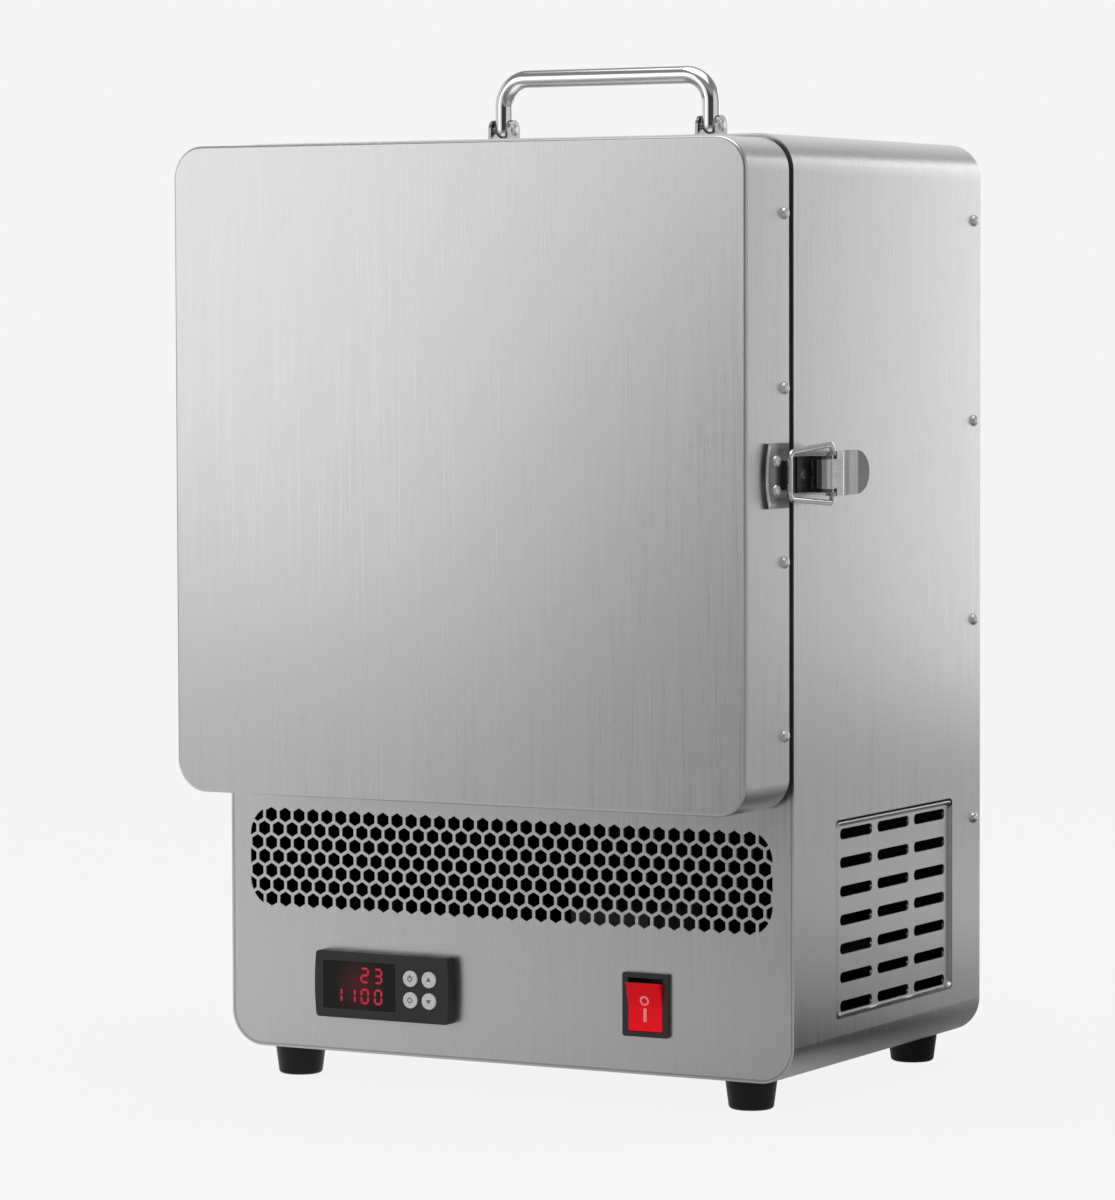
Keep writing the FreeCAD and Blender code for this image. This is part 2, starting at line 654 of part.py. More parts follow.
def bent_path(corners, bends):
    """A wire of straight runs joined by tangent arcs, one radius for each inner corner."""
    edges, start = [], corners[0]
    for before, corner, after, bend in zip(corners, corners[1:], corners[2:], bends):
        back, ahead = (before - corner).normalize(), (after - corner).normalize()
        half = back.getAngle(ahead) / 2
        leg = bend / math.tan(half)
        inward = (back + ahead).normalize()
        crest = corner + inward * (bend / math.sin(half) - bend)
        edges.append(Part.makeLine(start, corner + back * leg))
        edges.append(Part.Arc(corner + back * leg, crest, corner + ahead * leg).toShape())
        start = corner + ahead * leg
    edges.append(Part.makeLine(start, corners[-1]))
    return Part.Wire(edges)


def bent_rod(corners, bends, radius):
    path = bent_path(corners, bends)
    ring = Part.Wire(Part.makeCircle(radius, corners[0], corners[1] - corners[0]))
    solid = path.makePipeShell([ring], True, False)
    if abs(solid.Volume / (math.pi * radius ** 2 * path.Length) - 1) > 0.01:
        raise RuntimeError("a bent rod lost its section")
    return solid


# Casing, feet and their screws
FOOT_SPOTS = {
    "front_left": ("-side + foot_inset_x", "body_front + foot_inset_y"),
    "front_right": ("side - foot_inset_x", "body_front + foot_inset_y"),
    "rear_left": ("-side + foot_inset_x", "body_rear - foot_inset_y"),
    "rear_right": ("side - foot_inset_x", "body_rear - foot_inset_y"),
}
BRACKET_SPOTS = ["-handle_span / 2", "handle_span / 2"]
HINGE_HEIGHTS = {"upper": "door_centre + hinge_spread / 2", "lower": "door_centre - hinge_spread / 2"}
REAR_SCREW_HEIGHTS = stack("base + rear_screw_first", "rear_screw_pitch", "side_screw_count")
DOOR_SCREW_HEIGHTS = stack("door_base + door_screw_first", "door_screw_pitch", "side_screw_count")
HINGE_SCREW_HEIGHTS = [
    f"{height} {sign} hinge_screw_pitch / 2" for height in HINGE_HEIGHTS.values() for sign in "+-"
]
KEEPER_RIVETS = [
    ("side + latch_sheet", "door_back - rivet_front", f"door_centre {sign} rivet_pitch / 2") for sign in "+-"
]
BASE_RIVETS = [
    ("side + latch_sheet", "latch_base_y + base_rivet_inset", "door_centre"),
    ("side + latch_sheet", "latch_base_y + latch_base_length - base_rivet_inset", "door_centre"),
]


def cross_holes(y, heights):
    """Tools for screw holes through both side walls."""
    length = f"body_width + {2 * OVERSHOOT}"
    start = f"-side - {OVERSHOOT}"
    return [rod("cross_hole", "screw_radius + inner_clear", length, (start, y, z), "x") for z in heights]


def wall_holes(x, y, heights, radius, depth):
    """Tools for holes through one side wall, from x on."""
    return [rod("wall_hole", f"{radius} + inner_clear", depth, (x, y, z), "x") for z in heights]


def base_rivet_holes():
    """Tools for the latch base's rivets, through the casing and the rim of the face plate behind it."""
    start = f"side - casing_sheet - panel_fit - panel_sheet - {OVERSHOOT}"
    depth = f"casing_sheet + panel_fit + panel_sheet + {2 * OVERSHOOT}"
    return [wall_holes(start, y, [z], "screw_radius", depth)[0] for _, y, z in BASE_RIVETS]


def make_casing():
    tube = new_body("casing_tube", ("0", "body_front", "centre"))
    section = new_sketch(tube, "XZ_Plane")
    rounded_rectangle(section, "body_width", "body_height", "body_radius")
    both = "2 * casing_sheet"
    rounded_rectangle(section, f"body_width - {both}", f"body_height - {both}", "body_radius - casing_sheet")
    pad(tube, section, "body_depth", reverse=True)
    window = new_sketch(tube, "YZ_Plane", ("vent_y - body_front", "vent_z - centre", "0"))
    rounded_rectangle(window, "vent_width", "vent_height", "vent_radius")
    pocket(tube, window, reverse=True)
    drill = "screw_radius + inner_clear"
    depth = f"casing_sheet + {2 * OVERSHOOT}"
    holes = []
    for x, y in FOOT_SPOTS.values():
        holes.append(rod("foot_hole", drill, depth, (x, y, f"base - {OVERSHOOT}"), "z"))
    for x in BRACKET_SPOTS:
        spot = (x, "body_middle", f"top - casing_sheet - {OVERSHOOT}")
        holes.append(rod("bracket_hole", drill, depth, spot, "z"))
    holes += cross_holes("rear_screw_y", REAR_SCREW_HEIGHTS)
    holes += wall_holes(
        f"-side - {OVERSHOOT}", "seam_middle + hinge_reach", HINGE_SCREW_HEIGHTS, "hinge_screw_radius", depth
    )
    keep(cut("casing", tube, holes + base_rivet_holes()))
    spots = [(f"{sign}side", "rear_screw_y", z) for sign in ("", "-") for z in REAR_SCREW_HEIGHTS]
    keep(set_out("rear_panel_screws", side_screw(), spots, outward(spots)))


def side_screw():
    words = ("screw_head_radius", "screw_head_height", "screw_radius", "screw_length")
    return domed_screw(*(value(word) for word in words))


def outward(spots):
    """The outward axis of each spot on a side wall."""
    return ["-x" if spot[0].startswith("-") else "x" for spot in spots]


def make_feet():
    for name, (x, y) in FOOT_SPOTS.items():
        foot = new_body(f"foot_{name}", (x, y, "0"))
        profile = new_sketch(foot, "XZ_Plane")
        well, bore = "foot_screw_head + foot_screw_room", "screw_radius + inner_clear"
        corners = [
            (well, "0"), ("foot_tread_radius - foot_edge", "0"), ("foot_tread_radius", "foot_edge"),
            ("foot_top_radius", "foot_height"), (bore, "foot_height"),
            (bore, "foot_height - foot_web"), (well, "foot_height - foot_web"),
        ]
        outline(profile, corners, {1: "foot_edge"})
        spin = foot.newObject("PartDesign::Revolution", f"foot_{name}_spin")
        spin.Profile = profile
        spin.ReferenceAxis = (profile, ["V_Axis"])
        keep(foot)
    spots = [(x, y, "foot_height - foot_web") for x, y in FOOT_SPOTS.values()]
    grip = value("foot_web + casing_sheet + foot_screw_grip")
    screw = domed_screw(value("foot_screw_head"), value("screw_head_height"), value("screw_radius"), grip)
    keep(set_out("foot_screws", screw, spots, "-z"))
    nut = hexagon(value("nut_radius"), value("nut_height"))
    nut = nut.cut(Part.makeCylinder(value("screw_radius + inner_clear"), value("nut_height")))
    keep(set_out("foot_nuts", nut, [(x, y, "floor_sheet") for x, y in FOOT_SPOTS.values()], "z"))


def hexagon(radius, length):
    """A prism on Z = 0 with corners along Y."""
    turns = [math.radians(30 + 60 * number) for number in range(7)]
    ring = Part.makePolygon([Vector(radius * math.cos(turn), radius * math.sin(turn), 0) for turn in turns])
    return Part.Face(ring).extrude(Vector(0, 0, length))


def make_vent_plate():
    plate = new_body("vent_plate", ("side - casing_sheet - panel_sheet", "vent_y", "vent_z"))
    sheet_outline = new_sketch(plate, "YZ_Plane", ("0", "(vent_lap - vent_sill) / 2", "0"))
    rectangle(sheet_outline, "vent_width + 2 * vent_lap", "vent_height + vent_lap + vent_sill")
    pad(plate, sheet_outline, "panel_sheet")
    row = new_sketch(plate, "YZ_Plane")
    for column in ("-slot_column_pitch", "0", "slot_column_pitch"):
        obround(row, "slot_length", "slot_width", column, "-slot_row_pitch * (slot_rows - 1) / 2 - slot_drop")
    slots = pocket(plate, row, middle=True)
    rows = plate.newObject("PartDesign::LinearPattern", "vent_plate_rows")
    rows.Originals = [slots]
    rows.Direction = (row, ["V_Axis"])
    bind(rows, Length="slot_row_pitch * (slot_rows - 1)", Occurrences="slot_rows")
    plate.Tip = rows
    keep(plate)


# Front and rear panels
def honeycomb():
    """Cutters for the honeycomb field, those at its edge trimmed to its rounded outline."""
    pitch, high, wide = value("cell_pitch"), value("grille_height"), value("grille_width")
    radius = (pitch - value("cell_web")) / math.sqrt(3)
    row_pitch = pitch * math.sqrt(3) / 2
    depth = value("panel_sheet") + 2 * OVERSHOOT
    field = Part.makeBox(wide, high, depth, Vector(-wide / 2, -high / 2, 0))
    uprights = [edge for edge in field.Edges if abs(edge.Vertexes[0].Z - edge.Vertexes[1].Z) > depth / 2]
    field = field.makeFillet(value("grille_radius"), uprights)
    cell_shape = hexagon(radius, depth)
    last_row = int((high / 2 - radius) / row_pitch)
    last_column = int(wide / 2 / pitch) + 1
    corner = value("grille_radius")
    cells = []
    for row in range(-last_row, last_row + 1):
        for column in range(-last_column, last_column + 1):
            x, y = pitch * (column + 0.5 * (row % 2)), row_pitch * row
            shape = cell_shape.translated(Vector(x, y, 0))
            if abs(x) > wide / 2 - corner:
                shape = shape.common(field)
            if shape.Volume > cell_shape.Volume * 0.12:
                cells.append(shape)
    return Part.makeCompound(cells)


def hollow_out(pan, height):
    """Leave a front panel's sheet and its turned-in rim."""
    hollow = new_sketch(pan, "XZ_Plane", ("0", "-panel_sheet", "-panel_sheet"))
    both = "2 * panel_sheet"
    hung_panel(hollow, f"inner_width - {both}", f"{height} - {both}", "inner_radius - panel_sheet")
    pocket(pan, hollow)


def panel_opening(name, x, z, width, height, low, depth):
    """A tool for a rectangular cut-out with the panels' fit round a width by height box."""
    corner = (f"{x} - {width} / 2 - panel_fit", low, f"{z} - {height} / 2 - panel_fit")
    return block(name, corner, (f"{width} + 2 * panel_fit", depth, f"{height} + 2 * panel_fit"))


def make_control_panel():
    pan = new_body("control_pan", ("0", "body_front", "split"))
    face = new_sketch(pan, "XZ_Plane")
    hung_panel(face, "inner_width", "panel_height", "inner_radius")
    pad(pan, face, "panel_rim", reverse=True)
    hollow_out(pan, "panel_height")
    cells = shaped("honeycomb_cells", honeycomb())
    place(cells, ("0", f"body_front + panel_sheet + {OVERSHOOT}", "base + grille_rise"), TURNS["-y"])
    through = (f"body_front - {OVERSHOOT}", f"panel_sheet + {2 * OVERSHOOT}")
    control = panel_opening(
        "control_opening", "control_shift", "control_z", "housing_width", "housing_height", *through
    )
    switch = panel_opening(
        "switch_opening", "switch_shift", "switch_z", "switch_box_width", "switch_box_height", *through
    )
    keep(cut("control_panel", pan, [cells, control, switch]))


def make_face_plate():
    upside_down = Rotation(Vector(0, 1, 0), 180)
    plate = new_body("face_pan", ("0", "body_front", "plate_base"), upside_down)
    face = new_sketch(plate, "XZ_Plane")
    hung_panel(face, "inner_width", "plate_height", "inner_radius")
    pad(plate, face, "panel_rim", reverse=True)
    hollow_out(plate, "plate_height")
    mouth = new_sketch(plate, "XZ_Plane", ("0", "plate_base - door_centre", "0"))
    rectangle(mouth, "chamber_width", "chamber_height")
    pocket(plate, mouth, middle=True)
    keep(cut("chamber_face_plate", plate, base_rivet_holes()))


def make_rear_panel():
    pan = new_body("rear_pan", ("0", "rear_face", "centre"))
    face = new_sketch(pan, "XZ_Plane")
    rounded_rectangle(face, "inner_width", "inner_height", "inner_radius")
    pad(pan, face, "panel_rim")
    hollow = new_sketch(pan, "XZ_Plane", ("0", "0", "panel_sheet"))
    wide, high = "inner_width - 2 * panel_sheet", "inner_height - 2 * panel_sheet"
    rounded_rectangle(hollow, wide, high, "inner_radius - panel_sheet")
    pocket(pan, hollow, reverse=True)
    inlet = panel_opening(
        "inlet_opening", "inlet_shift", "inlet_z", "inlet_box_width", "inlet_box_height",
        f"rear_face - panel_sheet - {OVERSHOOT}", f"panel_sheet + {2 * OVERSHOOT}",
    )
    keep(cut("rear_panel", pan, [inlet] + cross_holes("rear_screw_y", REAR_SCREW_HEIGHTS)))


# Furnace chamber
def make_chamber():
    shelf = new_body("partition", ("0", "shelf_front", "shelf"))
    section = new_sketch(shelf, "XZ_Plane")
    right, left = "inner_width / 2", "-inner_width / 2"
    flange, under = "-partition_flange", "-partition_sheet"
    inner_right, inner_left = f"{right} - partition_sheet", f"{left} + partition_sheet"
    corners = [
        (left, flange), (inner_left, flange), (inner_left, under), (inner_right, under),
        (inner_right, flange), (right, flange), (right, "0"), (left, "0"),
    ]
    outline(section, corners)
    pad(shelf, section, "shelf_rear - shelf_front", reverse=True)
    keep(shelf)
    wide, low = "stack_width", "-stack_width / 2"
    for name, z in (("floor", "shelf"), ("roof", "chamber_roof")):
        spot = (low, "chamber_front", z)
        keep(block(f"refractory_{name}", spot, (wide, "board_length", "board_thick")))
    for name, x in (("left", low), ("right", "chamber_width / 2")):
        spot = (x, "chamber_front", "chamber_floor")
        keep(block(f"refractory_{name}", spot, ("board_thick", "chamber_depth", "chamber_height")))
    spot = (low, "chamber_back", "chamber_floor")
    slab = block("rear_slab", spot, (wide, "board_thick", "chamber_height"))
    start, length = f"chamber_back - {OVERSHOOT}", f"board_thick + {2 * OVERSHOOT}"
    holes = [
        rod("lead_hole", "bushing_radius + inner_clear", length, (x, start, z), "y") for x, z in LEAD_SPOTS
    ]
    holes.append(rod("probe_hole", "probe_radius + inner_clear", length, ("0", start, "probe_z"), "y"))
    keep(cut("refractory_rear", slab, holes))
    spot = ("-chamber_width / 2 + hearth_margin", "plug_face + hearth_margin", "chamber_floor")
    deep = "chamber_back - plug_face - 2 * hearth_margin"
    keep(block("hearth_plate", spot, ("chamber_width - 2 * hearth_margin", deep, "hearth_thick")))


LEAD_HEIGHTS = [f"door_centre {sign} element_pitch * (element_runs - 1) / 2" for sign in "-+"]
LEAD_SPOTS = [(f"{sign}element_x", z) for sign in ("-", "") for z in LEAD_HEIGHTS]


def make_elements():
    """Rods bent to and fro along each side wall, both ends led out through the rear board."""
    bend = value("element_pitch / 2")
    front, rear = value("element_front"), value("element_rear")
    for name, sign in (("left", "-"), ("right", "")):
        x = value(f"{sign}element_x")
        corners = [Vector(x, value("element_end"), value(LEAD_HEIGHTS[0]))]
        for run in counted("element_runs"):
            height = value(LEAD_HEIGHTS[0]) + run * value("element_pitch")
            ends = [front, rear] if run % 2 else [rear, front]
            corners += [Vector(x, y, height) for y in (ends if run else ends[1:])]
        corners[-1] = Vector(x, value("element_end"), corners[-1].z)
        bends = [bend * 0.999] * (len(corners) - 2)
        keep(shaped(f"heating_element_{name}", bent_rod(corners, bends, value("element_radius"))))
    collar, length = value("bushing_collar"), value("board_thick")
    bore, outer = value("bushing_bore"), value("bushing_radius")
    bushing = turned([
        (bore, -length), (outer, -length), (outer, 0),
        (outer + collar, 0), (outer + collar, collar), (bore, collar),
    ])
    keep(set_out("element_bushings", bushing, [(x, "board_back", z) for x, z in LEAD_SPOTS], "y"))
    length = value("probe_reach + board_thick")
    sheath, head = value("probe_radius"), value("probe_head")
    probe = turned([
        (0, -length), (sheath, -length), (sheath, 0), (head, 0),
        (head, value("probe_head_length")), (0, value("probe_head_length")),
    ])
    keep(set_out("thermocouple", probe, [("0", "board_back", "probe_z")], "y"))


# Door
def make_door():
    shell = new_body("door_pan", ("0", "door_back", "door_centre"))
    face = new_sketch(shell, "XZ_Plane")
    rounded_rectangle(face, "body_width", "door_height", "door_radius")
    pad(shell, face, "door_depth")
    soften(shell, "door_edge_radius", at_depth(value("-door_depth")))
    hollow = new_sketch(shell, "XZ_Plane")
    inset = "2 * door_sheet"
    rounded_rectangle(hollow, f"body_width - {inset}", f"door_height - {inset}", "door_radius - door_sheet")
    pocket(shell, hollow, "door_depth - door_sheet", reverse=True)
    depth = f"door_sheet + {2 * OVERSHOOT}"
    holes = cross_holes("door_screw_y", DOOR_SCREW_HEIGHTS)
    holes += wall_holes(
        f"-side - {OVERSHOOT}", "seam_middle - hinge_reach", HINGE_SCREW_HEIGHTS, "hinge_screw_radius", depth
    )
    for _, y, z in KEEPER_RIVETS:
        holes += wall_holes(f"side - door_sheet - {OVERSHOOT}", y, [z], "screw_radius", depth)
    keep(cut("door_shell", shell, holes))

    liner = new_body("liner_pan", ("0", "door_back", "door_centre"))
    back = new_sketch(liner, "XZ_Plane")
    wide, high = "body_width - 2 * liner_inset", "door_height - 2 * liner_inset"
    rounded_rectangle(back, wide, high, "door_radius - liner_inset")
    pad(liner, back, "panel_rim")
    tray = new_sketch(liner, "XZ_Plane", ("0", "0", "door_sheet"))
    bend = "door_radius - liner_inset - door_sheet"
    rounded_rectangle(tray, f"{wide} - {inset}", f"{high} - {inset}", bend)
    pocket(liner, tray, reverse=True)
    opening = new_sketch(liner, "XZ_Plane")
    rectangle(opening, "plug_width + 2 * panel_fit", "plug_height + 2 * panel_fit")
    pocket(liner, opening, middle=True)
    keep(cut("door_liner", liner, cross_holes("door_screw_y", DOOR_SCREW_HEIGHTS)))

    filling = new_body("door_insulation", ("0", "door_back", "door_centre"))
    board = new_sketch(filling, "XZ_Plane", ("0", "0", "door_sheet"))
    rounded_rectangle(
        board, "body_width - 2 * fill_inset", "door_height - 2 * fill_inset", "door_radius - fill_inset"
    )
    pad(filling, board, "door_depth - 2 * door_sheet")
    plug = new_sketch(filling, "XZ_Plane", ("0", "0", "door_sheet"))
    rectangle(plug, "plug_width", "plug_height")
    pad(filling, plug, "door_sheet + seam_gap + plug_reach", reverse=True)
    keep(filling)

    seal = new_body("door_gasket", ("0", "door_back", "door_centre"))
    ring = new_sketch(seal, "XZ_Plane")
    wide, high = "body_width - 2 * gasket_inset", "door_height - 2 * gasket_inset"
    bend = "door_radius - gasket_inset"
    rounded_rectangle(ring, wide, high, bend)
    rounded_rectangle(ring, f"{wide} - 2 * gasket_width", f"{high} - 2 * gasket_width", f"{bend} / 2")
    pad(seal, ring, "seam_gap - gasket_clear", reverse=True)
    keep(seal)
    spots = [(f"{sign}side", "door_screw_y", z) for sign in ("", "-") for z in DOOR_SCREW_HEIGHTS]
    keep(set_out("door_screws", side_screw(), spots, outward(spots)))


# Hinges
def hinge_leaves(name, toward, thirds):
    """Two leaves on one side of the hinge line, with knuckles on the named thirds of their height."""
    far = f"seam_middle {toward} hinge_leaf"
    edge = "seam_middle" if toward == "+" else far
    room = "knuckle_radius + knuckle_gap"
    room_edge = f"seam_middle - {OVERSHOOT}" if toward == "+" else f"seam_middle - {room}"
    leaves = []
    for height in HINGE_HEIGHTS.values():
        foot = f"{height} - hinge_height / 2"
        spot = ("-side - hinge_sheet", edge, foot)
        plate = block("leaf_plate", spot, ("hinge_sheet", "hinge_leaf", "hinge_height"))
        solids, tools = [plate], []
        for third in range(3):
            low = f"{foot} + hinge_height * {third} / 3"
            trims = [end for end in (third > 0, third < 2)]
            start = f"{low} + knuckle_gap / 2 * {int(trims[0])}"
            length = f"hinge_height / 3 - knuckle_gap / 2 * {sum(trims)}"
            if third in thirds:
                spot = ("hinge_line", "seam_middle", start)
                solids.append(rod("knuckle", "knuckle_radius", length, spot, "z"))
            else:
                spare = f"{OVERSHOOT} * {2 - sum(trims)}"
                start = f"{low} - knuckle_gap / 2 - {OVERSHOOT} * {int(not trims[0])}"
                length = f"hinge_height / 3 + knuckle_gap / 2 * {sum(trims)} + {spare}"
                spot = (f"-side - hinge_sheet - {OVERSHOOT}", room_edge, start)
                size = (f"hinge_sheet + {2 * OVERSHOOT}", f"{room} + {OVERSHOOT}", length)
                tools.append(block("knuckle_room", spot, size))
        bore_start = ("hinge_line", "seam_middle", f"{foot} - {OVERSHOOT}")
        bore_length = f"hinge_height + {2 * OVERSHOOT}"
        tools.append(rod("pin_bore", "hinge_pin_radius + running_clear", bore_length, bore_start, "z"))
        leaves.append(cut(f"{name}_leaf", fuse("leaf_blank", solids), tools))
    words = ("hinge_screw_head + inner_clear", "hinge_screw_radius + inner_clear", "hinge_screw_length")
    sunk = sunk_screw(*(value(word) for word in words))
    spots = [("-side - hinge_sheet", f"seam_middle {toward} hinge_reach", z) for z in HINGE_SCREW_HEIGHTS]
    seats = set_out(f"{name}_seats", sunk, spots, "-x")
    keep(cut(f"hinge_leaves_{name}", group(f"{name}_leaves", leaves), [seats]))
    words = ("hinge_screw_head", "hinge_screw_radius", "hinge_screw_length")
    keep(set_out(f"hinge_screws_{name}", sunk_screw(*(value(word) for word in words)), spots, "-x"))


def make_hinges():
    hinge_leaves("casing", "+", (0, 2))
    hinge_leaves("door", "-", (1,))
    words = ("hinge_pin_head", "pin_head_height", "hinge_pin_radius", "hinge_height")
    pin = headed_pin(*(value(word) for word in words))
    spots = [("hinge_line", "seam_middle", f"{z} - hinge_height / 2") for z in HINGE_HEIGHTS.values()]
    keep(set_out("hinge_pins", pin, spots, "z"))


# Carrying handle
def make_handle():
    low, high = value("handle_pivot"), value("handle_bar")
    x, y = value("handle_span / 2"), value("body_middle")
    corners = [Vector(-x, y, low), Vector(-x, y, high), Vector(x, y, high), Vector(x, y, low)]
    radius = value("handle_rod_radius")
    bow = bent_rod(corners, [value("handle_bend")] * 2, radius)
    ends = [Part.makeSphere(radius, corner) for corner in (corners[0], corners[-1])]
    bow = bow.fuse(ends).removeSplitter()
    bore = "handle_pin_radius + running_clear"
    bores = []
    for x in BRACKET_SPOTS:
        spot = (f"{x} - ear_inner", "body_middle", "handle_pivot")
        bores.append(rod("leg_bore", bore, "2 * ear_inner", spot, "x"))
    keep(cut("handle", shaped("handle_bow", bow), bores))
    for name, x in zip(("left", "right"), BRACKET_SPOTS):
        front = "body_middle - ear_depth / 2"
        spot = (f"{x} - ear_outer", front, "top")
        solids = [block("bracket_base", spot, ("2 * ear_outer", "ear_depth", "ear_thick"))]
        for ear in (f"{x} - ear_outer", f"{x} + ear_inner"):
            shape = new_body("bracket_ear", (ear, "body_middle", "top"))
            profile = new_sketch(shape, "YZ_Plane")
            half, crown, crest = "ear_depth / 2", "pivot_rise", "pivot_rise + ear_crown"
            corners = [
                (f"-{half}", "0"), (half, "0"), (half, crown),
                (f"{half} - ear_crown", crest), (f"ear_crown - {half}", crest), (f"-{half}", crown),
            ]
            outline(profile, corners, {2: "ear_crown", 4: "ear_crown"})
            pad(shape, profile, "ear_thick")
            solids.append(shape)
        tools = [
            rod("ear_bore", "handle_pin_radius + inner_clear", f"2 * ear_outer + {2 * OVERSHOOT}",
                (f"{x} - ear_outer - {OVERSHOOT}", "body_middle", "handle_pivot"), "x"),
            rod("base_bore", "screw_radius + inner_clear", f"ear_thick + {2 * OVERSHOOT}",
                (x, "body_middle", f"top - {OVERSHOOT}"), "z"),
        ]
        keep(cut(f"handle_bracket_{name}", fuse(f"bracket_{name}_blank", solids), tools))
    words = ("pin_head_radius", "pin_head_height", "handle_pin_radius", "2 * ear_outer")
    pin = headed_pin(*(value(word) for word in words))
    spots = [(f"{x} - ear_outer", "body_middle", "handle_pivot") for x in BRACKET_SPOTS]
    keep(set_out("handle_pins", pin, spots, "x"))
    words = ("screw_head_radius", "screw_head_height", "screw_radius", "casing_sheet + ear_thick")
    screw = domed_screw(*(value(word) for word in words))
    spots = [(x, "body_middle", "top - casing_sheet") for x in BRACKET_SPOTS]
    keep(set_out("bracket_screws", screw, spots, "-z"))


# Toggle latch
def swung(arm, turn):
    """A vector turned about Z, in radians."""
    return Rotation(Vector(0, 0, 1), math.degrees(turn)).multVec(arm)


def lever_strip():
    """The lever's bent sheet in its own XY plane: Y runs from the pin to the tip, X points outward."""
    half = value("lever_sheet") / 2
    hump, dip = math.radians(value("lever_hump_turn")), math.radians(value("lever_dip_turn"))
    knuckle = value("latch_pin_radius + running_clear + lever_knuckle_wall")
    spot, heading = Vector(knuckle - half, 0, 0), 0.0
    near, far = [], []

    def run(length):
        nonlocal spot
        ahead = Vector(math.sin(heading), math.cos(heading), 0)
        across = Vector(ahead.y, -ahead.x, 0) * half
        near.append(Part.makeLine(spot - across, spot - across + ahead * length))
        far.append(Part.makeLine(spot + across, spot + across + ahead * length))
        spot = spot + ahead * length

    def bend(radius, turn):
        nonlocal spot, heading
        sign = math.copysign(1, turn)
        outward = Vector(math.cos(heading), -math.sin(heading), 0)
        middle = spot + outward * radius * sign
        for edges, offset in ((near, -half), (far, half)):
            arm = (spot + outward * offset) - middle
            stops = [middle + swung(arm, -turn * part) for part in (0, 0.5, 1)]
            edges.append(Part.Arc(*stops).toShape())
        spot = middle + swung(spot - middle, -turn)
        heading += turn

    run(value("lever_flat"))
    bend(value("lever_hump_radius"), -hump)
    run(value("lever_slope"))
    bend(value("lever_dip_radius"), dip)
    run((value("lever_length") - spot.y) / math.cos(heading))
    caps = [
        Part.makeLine(near[0].Vertexes[0].Point, far[0].Vertexes[0].Point),
        Part.makeLine(near[-1].Vertexes[-1].Point, far[-1].Vertexes[-1].Point),
    ]
    return Part.Face(Part.Wire(Part.__sortEdges__(near + far + caps)))


def lever_plan():
    """The lever's outline seen from outside: narrow at the knuckle, full width behind it, round tip."""
    narrow, wide = value("lever_knuckle_width") / 2, value("lever_width") / 2
    shoulder = value("latch_ear_radius + lever_shoulder")
    tip = value("lever_length")
    start = Vector(0, -shoulder, -narrow)
    corners = [
        start, Vector(0, -shoulder, narrow), Vector(0, shoulder, narrow), Vector(0, shoulder, wide),
        Vector(0, tip - wide, wide),
    ]
    edges = [Part.makeLine(first, last) for first, last in zip(corners, corners[1:])]
    edges.append(Part.Arc(corners[-1], Vector(0, tip, 0), Vector(0, tip - wide, -wide)).toShape())
    lower = [Vector(0, tip - wide, -wide), Vector(0, shoulder, -wide), Vector(0, shoulder, -narrow), start]
    edges += [Part.makeLine(first, last) for first, last in zip(lower, lower[1:])]
    return Part.Face(Part.Wire(edges))


def make_lever():
    wide, narrow = value("lever_width"), value("lever_knuckle_width")
    sheet_metal = value("lever_sheet")
    reach = value("lever_length")
    strip = lever_strip().extrude(Vector(0, 0, wide))
    strip.translate(Vector(0, 0, -wide / 2))
    plan = lever_plan().extrude(Vector(2 * reach, 0, 0))
    plan.translate(Vector(-reach, 0, 0))
    lever = strip.common(plan)
    knuckle = value("latch_pin_radius + running_clear + lever_knuckle_wall")
    solids = [Part.makeCylinder(knuckle, narrow, Vector(0, 0, -narrow / 2))]
    pivot = Vector(value("bail_pivot_out"), value("bail_pivot_back"), 0)
    cheek = value("cheek_radius")
    rise = knuckle - sheet_metal - pivot.x
    for low in (-wide / 2, wide / 2 - sheet_metal):
        corner = Vector(0, 0, low)
        solids.append(Part.makeCylinder(cheek, sheet_metal, pivot + corner))
        shoulder = value("latch_ear_radius + lever_shoulder")
        web = pivot.y + cheek - shoulder
        solids.append(Part.makeBox(rise + sheet_metal / 2, web, sheet_metal, Vector(pivot.x, shoulder, low)))
    lever = lever.fuse(solids).removeSplitter()
    bores = [
        Part.makeCylinder(value("latch_pin_radius + running_clear"), wide, Vector(0, 0, -wide / 2)),
        Part.makeCylinder(value("wire_radius + running_clear"), wide, pivot - Vector(0, 0, wide / 2)),
    ]
    item = shaped("latch_lever", lever.cut(bores))
    keep(place(item, ("lever_pin_x", "lever_pin_y", "door_centre")))


